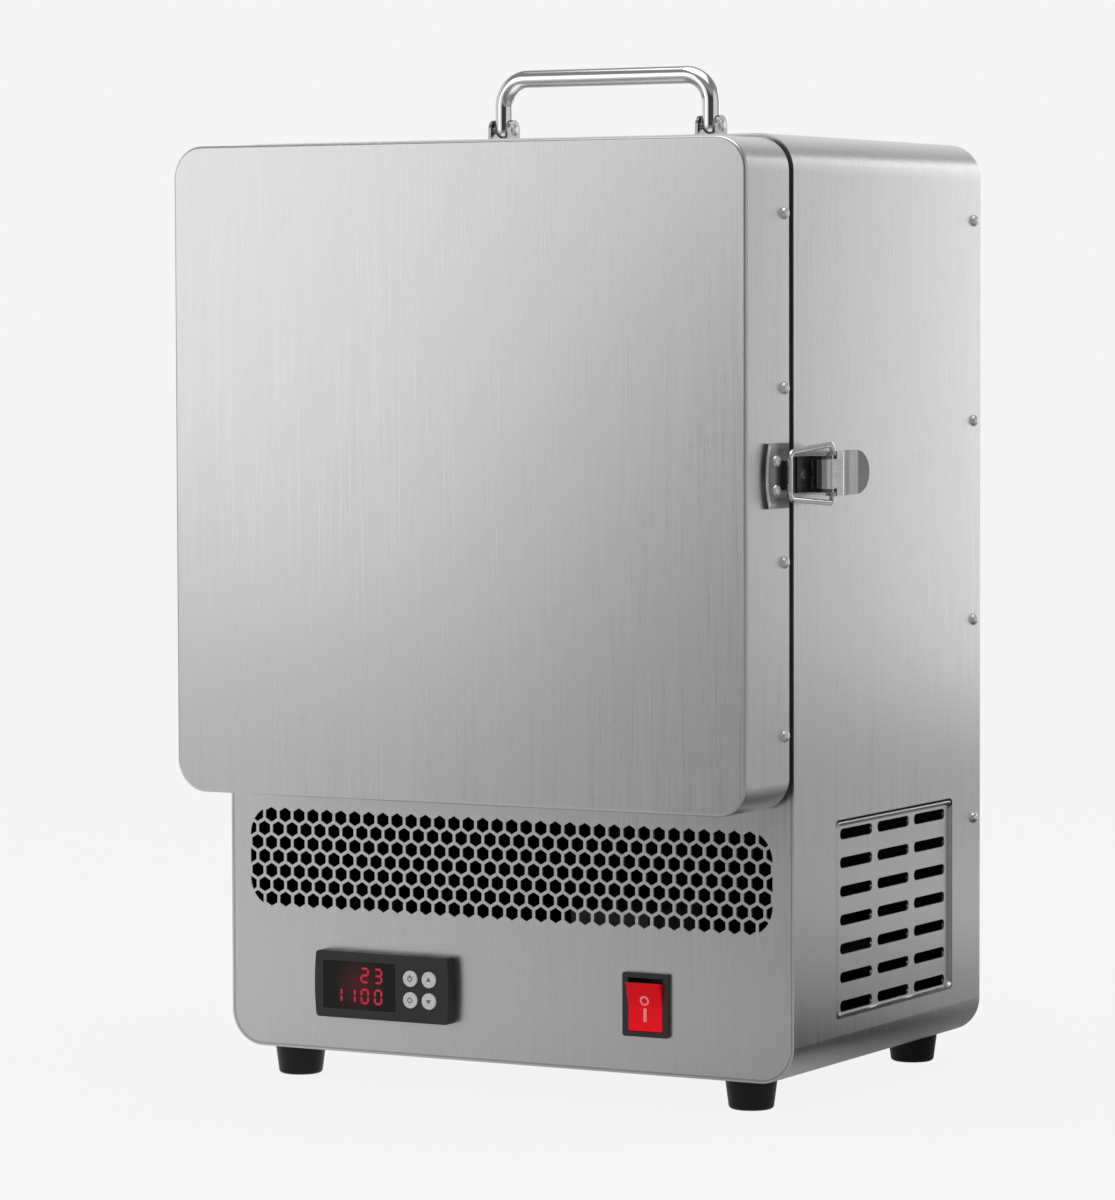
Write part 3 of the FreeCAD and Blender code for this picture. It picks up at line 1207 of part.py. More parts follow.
def make_latch():
    low, length = "door_centre - latch_ear_outer", "2 * latch_ear_outer"
    plate = block("latch_plate", ("side", "latch_base_y", low), ("latch_sheet", "latch_base_length", length))
    solids = [plate]
    for z in (low, "door_centre + latch_ear_inner"):
        spot = ("side", "lever_pin_y - latch_ear_radius", z)
        solids.append(block("ear_web", spot, ("latch_pin_rise", "2 * latch_ear_radius", "latch_sheet")))
        spot = ("lever_pin_x", "lever_pin_y", z)
        solids.append(rod("ear_round", "latch_ear_radius", "latch_sheet", spot, "z"))
    spot = ("lever_pin_x", "lever_pin_y", f"{low} - {OVERSHOOT}")
    through = f"{length} + {2 * OVERSHOOT}"
    tools = [rod("latch_bore", "latch_pin_radius + running_clear", through, spot, "z")]
    for _, y, z in BASE_RIVETS:
        tools += wall_holes(f"side - {OVERSHOOT}", y, [z], "screw_radius", f"latch_sheet + {2 * OVERSHOOT}")
    keep(cut("latch_base", fuse("latch_blank", solids), tools))
    keep(rod("latch_pin", "latch_pin_radius", length, ("lever_pin_x", "lever_pin_y", low), "z"))
    make_lever()

    pivot = point("bail_pivot_x", "bail_pivot_y", "door_centre")
    cross = point("wire_x", "wire_y", "door_centre")
    inner = value("lever_width / 2 - lever_sheet") + value("running_clear")
    narrow, wide = value("bail_narrow") / 2, value("bail_wide") / 2
    upper = [(pivot, inner), (pivot, wide), (cross, narrow)]
    spots = upper + [(spot, -height) for spot, height in reversed(upper)]
    corners = [spot + Vector(0, 0, height) for spot, height in spots]
    end_bend, bend = value("bail_end_bend"), value("bail_bend")
    wire = bent_rod(corners, [end_bend, bend, bend, end_bend], value("wire_radius"))
    keep(shaped("latch_bail", wire))

    plate = new_body("keeper_plate", ("side", "door_back", "door_centre"))
    face = new_sketch(plate, "YZ_Plane")
    half, rear, front = "keeper_height / 2", "-keeper_rear", "keeper_bow - keeper_front"
    corners = [(front, f"-{half}"), (rear, f"-{half}"), (rear, half), (front, half)]
    outline(face, corners, {3: f"({half} * {half} + keeper_bow * keeper_bow) / (2 * keeper_bow)"})
    pad(plate, face, "latch_sheet")
    lip = block(
        "keeper_lip", ("side", "wire_y + lip_back", "door_centre - lip_across / 2"),
        ("lip_height", "lip_thick", "lip_across"),
    )
    holes = []
    for _, y, z in KEEPER_RIVETS:
        holes += wall_holes(f"side - {OVERSHOOT}", y, [z], "screw_radius", f"latch_sheet + {2 * OVERSHOOT}")
    keep(cut("latch_keeper", fuse("keeper_blank", [plate, lip]), holes))

    words = ("rivet_radius", "rivet_height", "screw_radius", "latch_sheet + door_sheet + rivet_tail")
    rivet = domed_screw(*(value(word) for word in words))
    keep(set_out("keeper_rivets", rivet, KEEPER_RIVETS, "x"))
    words = ("rivet_radius", "rivet_height * 0.6", "screw_radius", "latch_sheet + casing_sheet + rivet_tail")
    rivet = domed_screw(*(value(word) for word in words))
    keep(set_out("latch_rivets", rivet, BASE_RIVETS, "x"))


# Controller
def make_controller():
    bezel = new_body("controller_bezel", ("control_shift", "body_front", "control_z"))
    face = new_sketch(bezel, "XZ_Plane")
    right, upper = "control_width / 2", "control_height / 2"
    corners = [(f"-{right}", f"-{upper}"), (right, f"-{upper}"), (right, upper), (f"-{right}", upper)]
    bow = f"({upper} * {upper} + control_bow * control_bow) / (2 * control_bow)"
    outline(face, corners, {1: bow, 3: bow})
    pad(bezel, face, "control_proud")
    soften(bezel, "control_corner", along_depth)
    soften(bezel, "control_edge", at_depth(value("-control_proud")))
    recess = new_sketch(bezel, "XZ_Plane", ("window_shift", "0", "control_proud"))
    rectangle(recess, "window_width + 2 * inner_clear", "window_height + 2 * inner_clear")
    pocket(bezel, recess, "window_thick + window_sink")
    keys = new_sketch(bezel, "XZ_Plane", ("key_shift", "0", "0"))
    spots = [(f"{across}key_pitch / 2", f"{up}key_pitch / 2") for up in ("", "-") for across in ("-", "")]
    for x, z in spots:
        disc(keys, "key_radius + key_clear", x, z)
    pocket(bezel, keys, middle=True)
    keep(bezel)
    left = "control_shift + window_shift - window_width / 2"
    spot = (left, "control_face + window_sink", "control_z - window_height / 2")
    keep(block("controller_window", spot, ("window_width", "window_thick", "window_height")))
    spot = ("control_shift - housing_width / 2", "body_front", "control_z - housing_height / 2")
    deep = "panel_sheet + housing_depth"
    keep(block("controller_housing", spot, ("housing_width", deep, "housing_height")))
    for number, (x, z) in enumerate(spots, 1):
        spot = (f"control_shift + key_shift + ({x})", "control_face", f"control_z + ({z})")
        key = new_body(f"key_{number}", spot)
        button = new_sketch(key, "XZ_Plane", ("0", "0", "key_proud"))
        disc(button, "key_radius")
        pad(key, button, "key_length", reverse=True)
        soften(key, "key_edge", at_depth(value("-key_proud")))
        keep(key)


# Rocker switch
def make_switch():
    shell = new_body("switch_shell", ("switch_shift", "body_front", "switch_z"))
    bezel = new_sketch(shell, "XZ_Plane")
    rounded_rectangle(bezel, "switch_width", "switch_height", "switch_corner")
    pad(shell, bezel, "switch_proud")
    case = new_sketch(shell, "XZ_Plane")
    rectangle(case, "switch_box_width", "switch_box_height")
    pad(shell, case, "panel_sheet + switch_depth", reverse=True)
    well = new_sketch(shell, "XZ_Plane", ("0", "0", "switch_proud"))
    rectangle(well, "well_width", "well_height")
    pocket(shell, well, "rocker_depth + well_floor")
    bore = rod(
        "rocker_bore", "rocker_pin_radius + running_clear", f"switch_box_width + {2 * OVERSHOOT}",
        (f"switch_shift - switch_box_width / 2 - {OVERSHOOT}", "rocker_pin_y", "switch_z"), "x",
    )
    keep(cut("switch_housing", shell, [bore]))

    spot = ("switch_shift", "rocker_pin_y", "switch_z")
    paddle = new_body("rocker_paddle", spot, Rotation(Vector(1, 0, 0), value("rocker_tilt")))
    bind(paddle, **{"Placement.Rotation.Angle": "rocker_tilt"})
    section = new_sketch(paddle, "YZ_Plane")
    horn, half = "-(rocker_horn)", "rocker_height / 2"
    corners = [
        ("-rocker_fold", "0"), (horn, f"-{half}"), ("rocker_back", f"rocker_taper - {half}"),
        ("rocker_back", f"{half} - rocker_taper"), (horn, half),
    ]
    outline(section, corners)
    pad(paddle, section, "rocker_width", middle=True)
    axle = rod(
        "rocker_axle", "rocker_pin_radius", "switch_box_width",
        ("switch_shift - switch_box_width / 2", "rocker_pin_y", "switch_z"), "x",
    )
    keep(fuse("rocker", [paddle, axle]))
    blades = []
    for sign in "+-":
        z = f"switch_z {sign} terminal_pitch / 2 - terminal_thick / 2"
        spot = ("switch_shift - terminal_width / 2", "switch_back", z)
        blades.append(block("terminal", spot, ("terminal_width", "terminal_length", "terminal_thick")))
    keep(group("switch_terminals", blades))


# Mains inlet, power relay and heat sink
def make_inlet():
    inlet = new_body("mains_inlet", ("inlet_shift", "rear_face", "inlet_z"))
    flange = new_sketch(inlet, "XZ_Plane")
    rounded_rectangle(flange, "inlet_width", "inlet_height", "inlet_flange")
    pad(inlet, flange, "inlet_flange", reverse=True)
    case = new_sketch(inlet, "XZ_Plane")
    rectangle(case, "inlet_box_width", "inlet_box_height")
    pad(inlet, case, "inlet_depth - inlet_flange + inlet_wall")
    mouth = new_sketch(inlet, "XZ_Plane", ("0", "0", "-inlet_flange"))
    right, upper, trim = "inlet_mouth_width / 2", "inlet_mouth_height / 2", "inlet_mouth_cut"
    corners = [
        (f"-{right}", f"-{upper}"), (right, f"-{upper}"), (right, f"{upper} - {trim}"),
        (f"{right} - {trim}", upper), (f"{trim} - {right}", upper), (f"-{right}", f"{upper} - {trim}"),
    ]
    outline(mouth, corners)
    pocket(inlet, mouth, "inlet_depth", reverse=True)
    keep(inlet)
    blades = []
    for x, z in (("-blade_pitch", "-blade_drop"), ("0", "blade_drop"), ("blade_pitch", "-blade_drop")):
        left, lower = f"inlet_shift + ({x}) - blade_thick / 2", f"inlet_z + ({z}) - blade_height / 2"
        spot = (left, "blade_root", lower)
        blades.append(block("blade", spot, ("blade_thick", "blade_length", "blade_height")))
    keep(group("inlet_blades", blades))


def make_relay():
    low, front = "-sink_width / 2", "sink_y - sink_depth / 2"
    spot = (low, front, "floor_sheet + sink_height - sink_base")
    plate = block("sink_plate", spot, ("sink_width", "sink_depth", "sink_base"))
    fins = []
    for number in counted("fin_count"):
        x = f"{low} + {number} * (sink_width - fin_thick) / (fin_count - 1)"
        size = ("fin_thick", "sink_depth", "sink_height - sink_base / 2")
        fins.append(block("fin", (x, front, "floor_sheet"), size))
    keep(fuse("heat_sink", [plate] + fins))
    keep(block(
        "power_relay", ("-relay_width / 2", "sink_y - relay_depth / 2", "floor_sheet + sink_height"),
        ("relay_width", "relay_depth", "relay_height"),
    ))


def export():
    """Check every object and each piece's solid, then write the pieces out."""
    doc.recompute()
    for item in doc.Objects:
        if "Invalid" in item.State or "Error" in item.State:
            raise RuntimeError(f"{item.Label} failed: {item.State}")
    for item in nodes:
        if item.Shape.isNull() or not item.Shape.isValid() or not item.Shape.Solids:
            raise RuntimeError(f"{item.Label} has no sound solid")
    os.makedirs("parts", exist_ok=True)
    for item in nodes:
        item.Shape.exportStep(f"parts/{item.Label}.step")
    print(len(nodes), "pieces written")


make_casing()
make_feet()
make_vent_plate()
make_control_panel()
make_face_plate()
make_rear_panel()
make_chamber()
make_elements()
make_door()
make_hinges()
make_handle()
make_latch()
make_controller()
make_switch()
make_inlet()
make_relay()
export()
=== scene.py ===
"""Looks for a bench-top muffle furnace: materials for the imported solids, and the small pieces on them.

Metres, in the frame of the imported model: +Z up, the door at the front (-Y), the latch on the right (+X).
"""
import json
import math

import bmesh
import bpy
from mathutils import Matrix, Vector


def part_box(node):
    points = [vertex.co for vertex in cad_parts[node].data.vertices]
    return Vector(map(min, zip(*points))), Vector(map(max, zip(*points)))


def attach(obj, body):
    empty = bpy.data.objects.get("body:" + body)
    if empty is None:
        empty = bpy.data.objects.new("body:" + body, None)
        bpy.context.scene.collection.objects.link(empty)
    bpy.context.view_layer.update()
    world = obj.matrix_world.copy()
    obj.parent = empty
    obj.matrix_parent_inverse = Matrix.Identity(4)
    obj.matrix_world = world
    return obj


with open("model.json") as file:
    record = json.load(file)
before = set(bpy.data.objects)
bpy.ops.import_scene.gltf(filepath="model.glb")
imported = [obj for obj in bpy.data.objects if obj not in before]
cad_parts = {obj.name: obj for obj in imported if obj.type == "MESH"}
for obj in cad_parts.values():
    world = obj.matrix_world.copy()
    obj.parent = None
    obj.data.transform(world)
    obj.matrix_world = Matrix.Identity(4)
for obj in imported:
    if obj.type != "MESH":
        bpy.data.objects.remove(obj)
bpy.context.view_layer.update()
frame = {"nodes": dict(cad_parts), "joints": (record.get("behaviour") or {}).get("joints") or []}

bl_info = {
    "name": "Muffle furnace looks",
    "version": (1, 0, 0),
    "blender": (4, 5, 0),
    "location": "View3D > Sidebar > Furnace",
    "description": "Materials, display, marks and stage for a bench-top muffle furnace",
    "category": "Object",
}

MM = 0.001
# Least distance between faces that would lie in one plane
HAIR = 0.02 * MM
# How far a thin piece is tucked into, or its floor stands over, what carries it
TUCK = 0.1 * MM
# Cosine over which a face counts as turned to a side
FACING = 0.5

# Noise per metre across the grain of brushed sheet, and along it
FINE_GRAIN = 1900.0
BROAD_GRAIN = 420.0
SHEET_STREAK = 18.0
PLATE_STREAK = 9.0
SHELF_STREAK = 60.0
FIN_STREAK = 30.0
# Share of the fine streaks in the grain, and the stretches of it that change the tone and the roughness
STREAK_SHARE = 0.7
TONE_STRETCH = (0.38, 0.62)
ROUGH_STRETCH = (0.36, 0.64)
# Noise per metre on polished metal and plastic
POLISH_ACROSS = 1500.0
POLISH_ALONG = 90.0
POLISH_SMUDGE = 45.0
PLASTIC_SMUDGE = 60.0
DIGIT_GLOW = 900.0
NOISE_ROUGHNESS = 0.55

# Least and most of a colour or a roughness over a surface
SHEET_TONES = (0.965, 1.03)
SHEET_ROUGH = (0.88, 1.14)
POLISH_TONES = (0.95, 1.03)
POLISH_ROUGH = (0.7, 1.5)
PLASTIC_ROUGH = (0.85, 1.2)
DIGIT_TONES = (0.82, 1.1)
ROCKER_TONES = (0.55, 1.25)
# Shares of a finish's colour on pieces that are lighter or darker than the rest; rim, bracket and lever
# are darker copies as painted shade, seam is painted shade and gap painted shadow in a gap
TONES = {
    "plate": 0.97, "rim": 0.85, "gap": 0.04, "seam": 0.65, "bracket": 0.5, "lever": 0.85, "keeper": 2.6,
    "hinge": 0.8, "gasket": 0.8,
}

# Bends in the shading of the lever: start and end in millimetres short of its tip, and the rise
LEVER_BENDS = [(31.0, 14.0, 8.5), (14.0, 9.5, 1.9), (9.5, 0.0, 14.0)]
BEAD_STEPS = 24

# Lit bars of the display's figures, and the gap at the ends of a bar in strokes
SEGMENTS = {"0": "abcdef", "1": "bc", "2": "abged", "3": "abgcd"}
SEGMENT_GAP = 0.12
# Printed marks: share of the outline left on top, slope at the edges of a ring and its bore in radii
MARK_TOP = 0.96
RING_SLOPE = 0.03
RING_BORE = 0.62
# Marks on the keys, in radii: foot of an arrow, half width and top of a stem, and its rise in mark rises
ARROW_FOOT = 0.55
STEM_HALF = 0.2
STEM_TOP = 1.35
STEM_RISE = 1.3

# Floor as metal shows it, with middles and inner and outer radii: the wide pool of painted light at the
# left that fades into the rest, the painted shadows on it, and the smaller pools of painted light with
# their strengths
WIDE_POOL = ((-0.866, -0.182, 0.0), 0.307, 1.08)
PAINTED_SHADOWS = [((0.30, 0.098, 0.0), 0.098, 0.198), ((-0.15, -1.2, 0.0), 0.15, 0.55)]
SMALL_POOLS = [
    ((0.335, 0.89, 0.0), 0.08, 0.56, "floor_sheen"),
    ((0.75, -1.45, 0.0), 0.4, 1.0, "floor_front"),
    ((-1.1, -1.25, 0.0), 0.2, 0.65, "floor_sheen"),
    ((1.25, 0.3, 0.0), 0.4, 0.9, "floor_front"),
]
# Studio as metal shows it: directions of its dim front and white sweep, with the cosines between which
# each begins, and the heights between which the front ends, the walls fade and the flats begin
DIM_FRONT = ((0.2, -0.98, 0.0), 0.3, 0.65)
WHITE_SWEEP = ((-0.485, 0.874, 0.0), 0.57, 0.82)
FRONT_TOP = (0.2, 0.36)
WALL_TOP = (0.426, 0.576)
FLATS_EDGE = (0.78, 0.92)
# Soft boxes: name, place, aim, width and height, roll in degrees, power
LIGHTS = [
    ("door_key", (-0.95, -1.23, 0.664), (-0.10, -0.13, 0.36), (0.89, 1.025), -12.0, 3.42),
    ("corner_key", (-0.36, -1.45, 0.64), (0.05, -0.13, 0.42), (0.34, 0.42), 0.0, 0.38),
    ("side_key", (0.496, 1.316, 0.497), (0.16, 0.10, 0.36), (0.47, 0.832), 0.0, 1.76),
    ("top_fill", (0.1, -0.3, 1.7), (0.0, 0.0, 0.4), (1.4, 1.4), 0.0, 8.0),
]


# Values that a user would change
def colour(name, description, default):
    """A colour of a finish."""
    return bpy.props.FloatVectorProperty(
        name=name, description=description, default=default, size=3, min=0, max=1, subtype="COLOR"
    )


def length(name, description, default):
    """A length in metres."""
    return bpy.props.FloatProperty(
        name=name, description=description, default=default, min=0, unit="LENGTH"
    )


def factor(name, description, default, top=1.0):
    """A share or a strength."""
    return bpy.props.FloatProperty(
        name=name, description=description, default=default, min=0, max=top, subtype="FACTOR"
    )


def angle(name, description, degrees):
    """An angle, given in degrees."""
    return bpy.props.FloatProperty(
        name=name, description=description, default=math.radians(degrees), subtype="ANGLE"
    )


def optics(name, description, millimetres):
    """A length in the camera, in millimetres."""
    return bpy.props.FloatProperty(
        name=name, description=description, default=millimetres, unit="CAMERA"
    )


class FurnaceColours(bpy.types.PropertyGroup):
    steel: colour("Steel", "Brushed stainless sheet", (0.66, 0.66, 0.66))
    # Painted shade: the dark colour given to the inner faces of the casing and panels
    inside: colour("Inside", "Inner faces of the casing and panels", (0.012, 0.012, 0.012))
    polished: colour("Polished steel", "Handle, lever, wire and brackets", (0.80, 0.80, 0.79))
    # Latch plates: the same colour is the painted shade on the keeper's edges
    latch: colour("Latch plates", "Plate under the lever, and the keeper's edges", (0.14, 0.14, 0.145))
    fastener: colour("Fasteners", "Screws, rivets and pins", (0.80, 0.80, 0.79))
    zinc: colour("Zinc", "Shelf over the electrics bay", (0.16, 0.165, 0.17))
    rubber: colour("Rubber", "Feet and door gasket", (0.006, 0.006, 0.0065))
    board: colour("Fibre board", "Refractory boards", (0.80, 0.77, 0.70))
    hearth: colour("Hearth", "Hearth plate", (0.62, 0.56, 0.46))
    porcelain: colour("Porcelain", "Element bushings", (0.82, 0.79, 0.71))
    heater: colour("Heater", "Elements and thermocouple sheath", (0.13, 0.11, 0.10))
    bezel: colour("Bezel", "Controller and its housing", (0.026, 0.027, 0.029))
    display: colour("Display", "Smoked display window", (0.008, 0.010, 0.009))
    digit: colour("Digits", "Light of the display segments", (0.64, 0.005, 0.045))
    digit_base: colour("Digit base", "Display segments under their light", (0.05, 0.0, 0.002))
    # Painted glow of the lit digits, in the window round them
    haze: colour("Display haze", "Red haze round the lit digits", (0.20, 0.002, 0.012))
    key: colour("Keys", "Controller keys", (0.64, 0.64, 0.63))
    key_mark: colour("Key marks", "Printed marks on the keys", (0.16, 0.16, 0.165))
    switch: colour("Switch", "Switch housing and mains inlet", (0.018, 0.018, 0.019))
    rocker: colour("Rocker", "Lit rocker", (0.62, 0.003, 0.010))
    rocker_mark: colour("Rocker marks", "Marks on the rocker", (0.80, 0.24, 0.25))
    brass: colour("Brass", "Terminals and inlet blades", (0.70, 0.50, 0.24))
    relay: colour("Relay", "Power relay", (0.10, 0.10, 0.105))
    sink: colour("Heat sink", "Heat sink", (0.05, 0.05, 0.052))
    floor: colour("Floor", "Floor and backdrop", (0.913, 0.913, 0.913))


class FurnaceSizes(bpy.types.PropertyGroup):
    digit_height: length("Digit height", "Display digits", 6.8 * MM)
    digit_width: length("Digit width", "Display digits", 3.8 * MM)
    digit_pitch: length("Digit pitch", "Display digits, centre to centre", 7.8 * MM)
    digit_inset: length("Digit inset", "Last digits, left of the bezel's middle", 2.0 * MM)
    row_lift: length("Row lift", "Upper row of digits, over the bezel's middle", 5.4 * MM)
    row_drop: length("Row drop", "Lower row of digits, under the bezel's middle", 5.2 * MM)
    segment_width: length("Segment width", "Lit segments", 1.15 * MM)
    haze_inset: length("Haze inset", "Middle of the haze, left of the bezel's middle", 13.0 * MM)
    haze_core: length("Haze core", "Radius of the full haze", 3.0 * MM)
    haze_reach: length("Haze reach", "Radius where the haze ends", 15.0 * MM)
    mark_rise: length("Mark rise", "Thickness of printed marks", 0.06 * MM)
    key_mark: length("Key mark", "Radius of the marks on the keys", 1.5 * MM)
    rocker_fold: length("Rocker fold", "Fold of the rocker in front of its pin", 5.2 * MM)
    rocker_ring: length("Rocker ring", "Radius of the ring on the rocker", 2.5 * MM)
    ring_lift: length("Ring lift", "Middle of the ring, over the rocker's fold", 2.9 * MM)
    rocker_bar: length("Rocker bar", "Length of the bar on the rocker", 6.6 * MM)
    bar_width: length("Bar width", "Width of the bar on the rocker", 1.716 * MM)
    bar_drop: length("Bar drop", "Middle of the bar, under the rocker's fold", 4.3 * MM)
    vent_width: length("Vent width", "Window of the side vent", 135.9 * MM)
    vent_height: length("Vent height", "Window of the side vent", 97.9 * MM)
    vent_corner: length("Vent corner", "Corners of the vent window", 3.0 * MM)
    vent_sill: length("Vent sill", "Vent plate below the window", 1.2 * MM)
    vent_slope: length("Vent slope", "Width of the sloped rim in the vent window", 2.2 * MM)
    vent_front: length("Vent front slope", "Width of the sloped rim at the window's front end", 5.0 * MM)
    vent_rear: length("Vent rear slope", "Width of the sloped rim at the window's rear end", 0.9 * MM)
    vent_lip: length("Vent lip", "Width of the raised lip round the vent window", 1.6 * MM)
    vent_rise: length("Vent lip rise", "Rise of the lip over the casing", 0.5 * MM)
    vent_gap_top: length("Vent gap above", "Open gap over the rim in the vent window", 1.2 * MM)
    vent_gap_rear: length("Vent gap behind", "Open gap behind the rim in the vent window", 1.0 * MM)
    casing_corner: length("Casing corner", "Outer rounding of the casing", 18.0 * MM)
    casing_lip: length("Casing lip", "Bare steel inside the casing's edges", 8.0 * MM)
    seam_inset: length("Seam inset", "Middle of the panel seam in from the casing", 1.35 * MM)
    seam_width: length("Seam width", "Seam between the casing and its panels", 0.8 * MM)
    keeper_bow: length("Keeper bow", "Bow of the keeper's front edge", 3.2 * MM)
    # Where the keeper's painted shade begins, and how it fades in
    keeper_bright: length("Keeper bright", "Paler plating behind the keeper's front edge", 8.0 * MM)
    keeper_fade: length("Keeper fade", "Change from paler to darker plating", 6.0 * MM)
    keeper_sheet: length("Keeper sheet", "Keeper plate", 1.5 * MM)
    bead_width: length("Bead width", "Back of the bead, in from the keeper's edge", 2.6 * MM)
    bead_rise: length("Bead rise", "Bead along the keeper's front edge", 0.4 * MM)
    bead_inset: length("Bead inset", "Front of the bead, in from the keeper's edge", 0.3 * MM)
    bead_slope: length("Bead slope", "Sloped front of the bead", 0.2 * MM)
    bead_end: length("Bead end", "Bare ends of the keeper's edge", 0.5 * MM)


class FurnaceFinish(bpy.types.PropertyGroup):
    steel_rough: factor("Steel roughness", "Brushed sheet", 0.30)
    steel_grain: factor("Steel grain", "Depth of the brushed grain", 0.074)
    steel_anisotropy: factor("Steel anisotropy", "Pull of the highlights across the grain", 0.1)
    shelf_rough: factor("Shelf roughness", "Shelf and heat sink", 0.5)
    sink_grain: factor("Sink grain", "Depth of the heat sink's grain", 0.1)
    gap_rough: factor("Gap roughness", "Dark gap in the vent window", 0.7)
    polish_rough: factor("Polish roughness", "Handle and latch wire", 0.09)
    bracket_rough: factor("Bracket roughness", "Handle brackets", 0.24)
    latch_rough: factor("Latch roughness", "Lever", 0.19)
    base_rough: factor("Latch base roughness", "Plate under the lever", 0.22)
    keeper_rough: factor("Keeper roughness", "Keeper and its bead", 0.3)
    hinge_rough: factor("Hinge roughness", "Hinges", 0.28)
    fastener_rough: factor("Fastener roughness", "Screws, rivets and pins", 0.36)
    brass_rough: factor("Brass roughness", "Terminals and inlet blades", 0.3)
    foot_rough: factor("Foot roughness", "Rubber feet", 0.28)
    gasket_rough: factor("Gasket roughness", "Door gasket", 0.6)
    bezel_rough: factor("Bezel roughness", "Controller and its housing", 0.46)
    window_rough: factor("Window roughness", "Display window", 0.3)
    digit_rough: factor("Digit roughness", "Display segments", 0.4)
    key_rough: factor("Key roughness", "Controller keys", 0.5)
    ink_rough: factor("Ink roughness", "Marks on the keys", 0.6)
    switch_rough: factor("Switch roughness", "Switch housing and mains inlet", 0.4)
    rocker_rough: factor("Rocker roughness", "Rocker", 0.3)
    rocker_ink_rough: factor("Rocker ink roughness", "Marks on the rocker", 0.5)
    relay_rough: factor("Relay roughness", "Power relay", 0.5)
    display_glow: factor("Display glow", "Strength of the lit digits", 0.75, 10.0)
    rocker_glow: factor("Rocker glow", "Strength of the lit rocker", 0.35, 10.0)
    mark_glow: factor("Mark glow", "Strength of the lit marks on the rocker", 0.15, 10.0)
    haze_glow: factor("Haze glow", "Strength of the haze in the display", 0.22, 10.0)


class FurnaceStage(bpy.types.PropertyGroup):
    azimuth: angle("Azimuth", "Camera, round from the front to the right", 28.997)
    elevation: angle("Elevation", "Camera, looking down", 3.145)
    roll: angle("Roll", "Camera roll", -0.173)
    spot: bpy.props.FloatVectorProperty(
        name="Camera", description="Place of the camera", default=(1.2623, -2.3055, 0.3861),
        subtype="TRANSLATION", unit="LENGTH",
    )
    lens: optics("Lens", "Focal length", 155.35)
    sensor: optics("Sensor", "Width of the sensor", 36.0)
    clip: length("Clip", "Far end of the camera's view", 200.0)
    fill: factor("Fill", "Strength of the light from all round", 0.85, 5.0)
    dim: factor("Dim", "Studio in front, as metal shows it", 0.05)
    tent: factor("Tent", "Walls of the studio, as metal shows them", 0.34)
    ceiling: factor("Ceiling", "Share of the walls' tone left higher up", 0.8)
    flats: factor("Flats", "White flats at both sides and above, as metal shows them", 0.82)
    floor_sheen: factor("Floor sheen", "Brightest pools on the floor, as metal shows them", 1.0)
    floor_front: factor("Front floor", "Pools in front and on the right, as metal shows them", 0.75)
    floor_far: factor("Far floor", "Rest of the floor, as metal shows it", 0.30)
    # Painted shadows on the floor, as metal shows them
    floor_shadow: factor("Near floor", "Share of its tone left in the floor's dark patches", 0.03)
    floor_seen: factor("Seen floor", "Floor as the camera shows it", 0.962)
    floor_bounce: factor("Floor bounce", "Grey of the floor for light that bounces off it", 0.5)
    floor_base: factor("Floor base", "Grey of the floor where it is seen or mirrored", 0.04)
    floor_size: length("Floor size", "Side of the floor", 40.0)


# Shader nodes
class Nodes:
    """Adds and joins the nodes of one tree."""

    def __init__(self, tree):
        self.tree = tree
        self.place = self.add("TexCoord").outputs

    def add(self, kind, settings=None, **inputs):
        """A new node, with its inputs given by name, or by number after a letter."""
        node = self.tree.nodes.new(f"ShaderNode{kind}")
        for word, setting in (settings or {}).items():
            setattr(node, word, setting)
        for word, source in inputs.items():
            key = int(word[1:]) if word[1:].isdigit() else word.replace("_", " ")
            self.feed(source, node.inputs[key])
        return node

    def feed(self, source, socket):
        """Link a socket to a source, or set its value."""
        if isinstance(source, bpy.types.NodeSocket):
            self.tree.links.new(source, socket)
        elif socket.type == "RGBA" and len(source) == 3:
            socket.default_value = (*source, 1.0)
        else:
            socket.default_value = source

    def span(self, source, low, high, start=0.3, end=0.7):
        """Low up to the start, high from the end, and even between."""
        node = self.add("MapRange", i0=source, i1=start, i2=end, i3=low, i4=high)
        return node.outputs["Result"]

    def math(self, operation, first, second=0.0):
        return self.add("Math", {"operation": operation}, i0=first, i1=second).outputs["Value"]

    def vector(self, operation, first, second, output="Vector"):
        node = self.add("VectorMath", {"operation": operation}, i0=first, i1=second)
        return node.outputs[output]

    def dot(self, vector, direction):
        return self.vector("DOT_PRODUCT", vector, direction, "Value")

    def far(self, vector, spot):
        return self.vector("DISTANCE", vector, spot, "Value")

    def blend(self, share, first, second):
        """A share of the first source, and the rest of the second."""
        part = self.math("MULTIPLY", first, share)
        return self.math("ADD", part, self.math("MULTIPLY", second, 1 - share))

    def mirrored(self, ray):
        """One for rays that come by way of metal or glass."""
        return self.math("MAXIMUM", ray["Is Glossy Ray"], ray["Is Transmission Ray"])


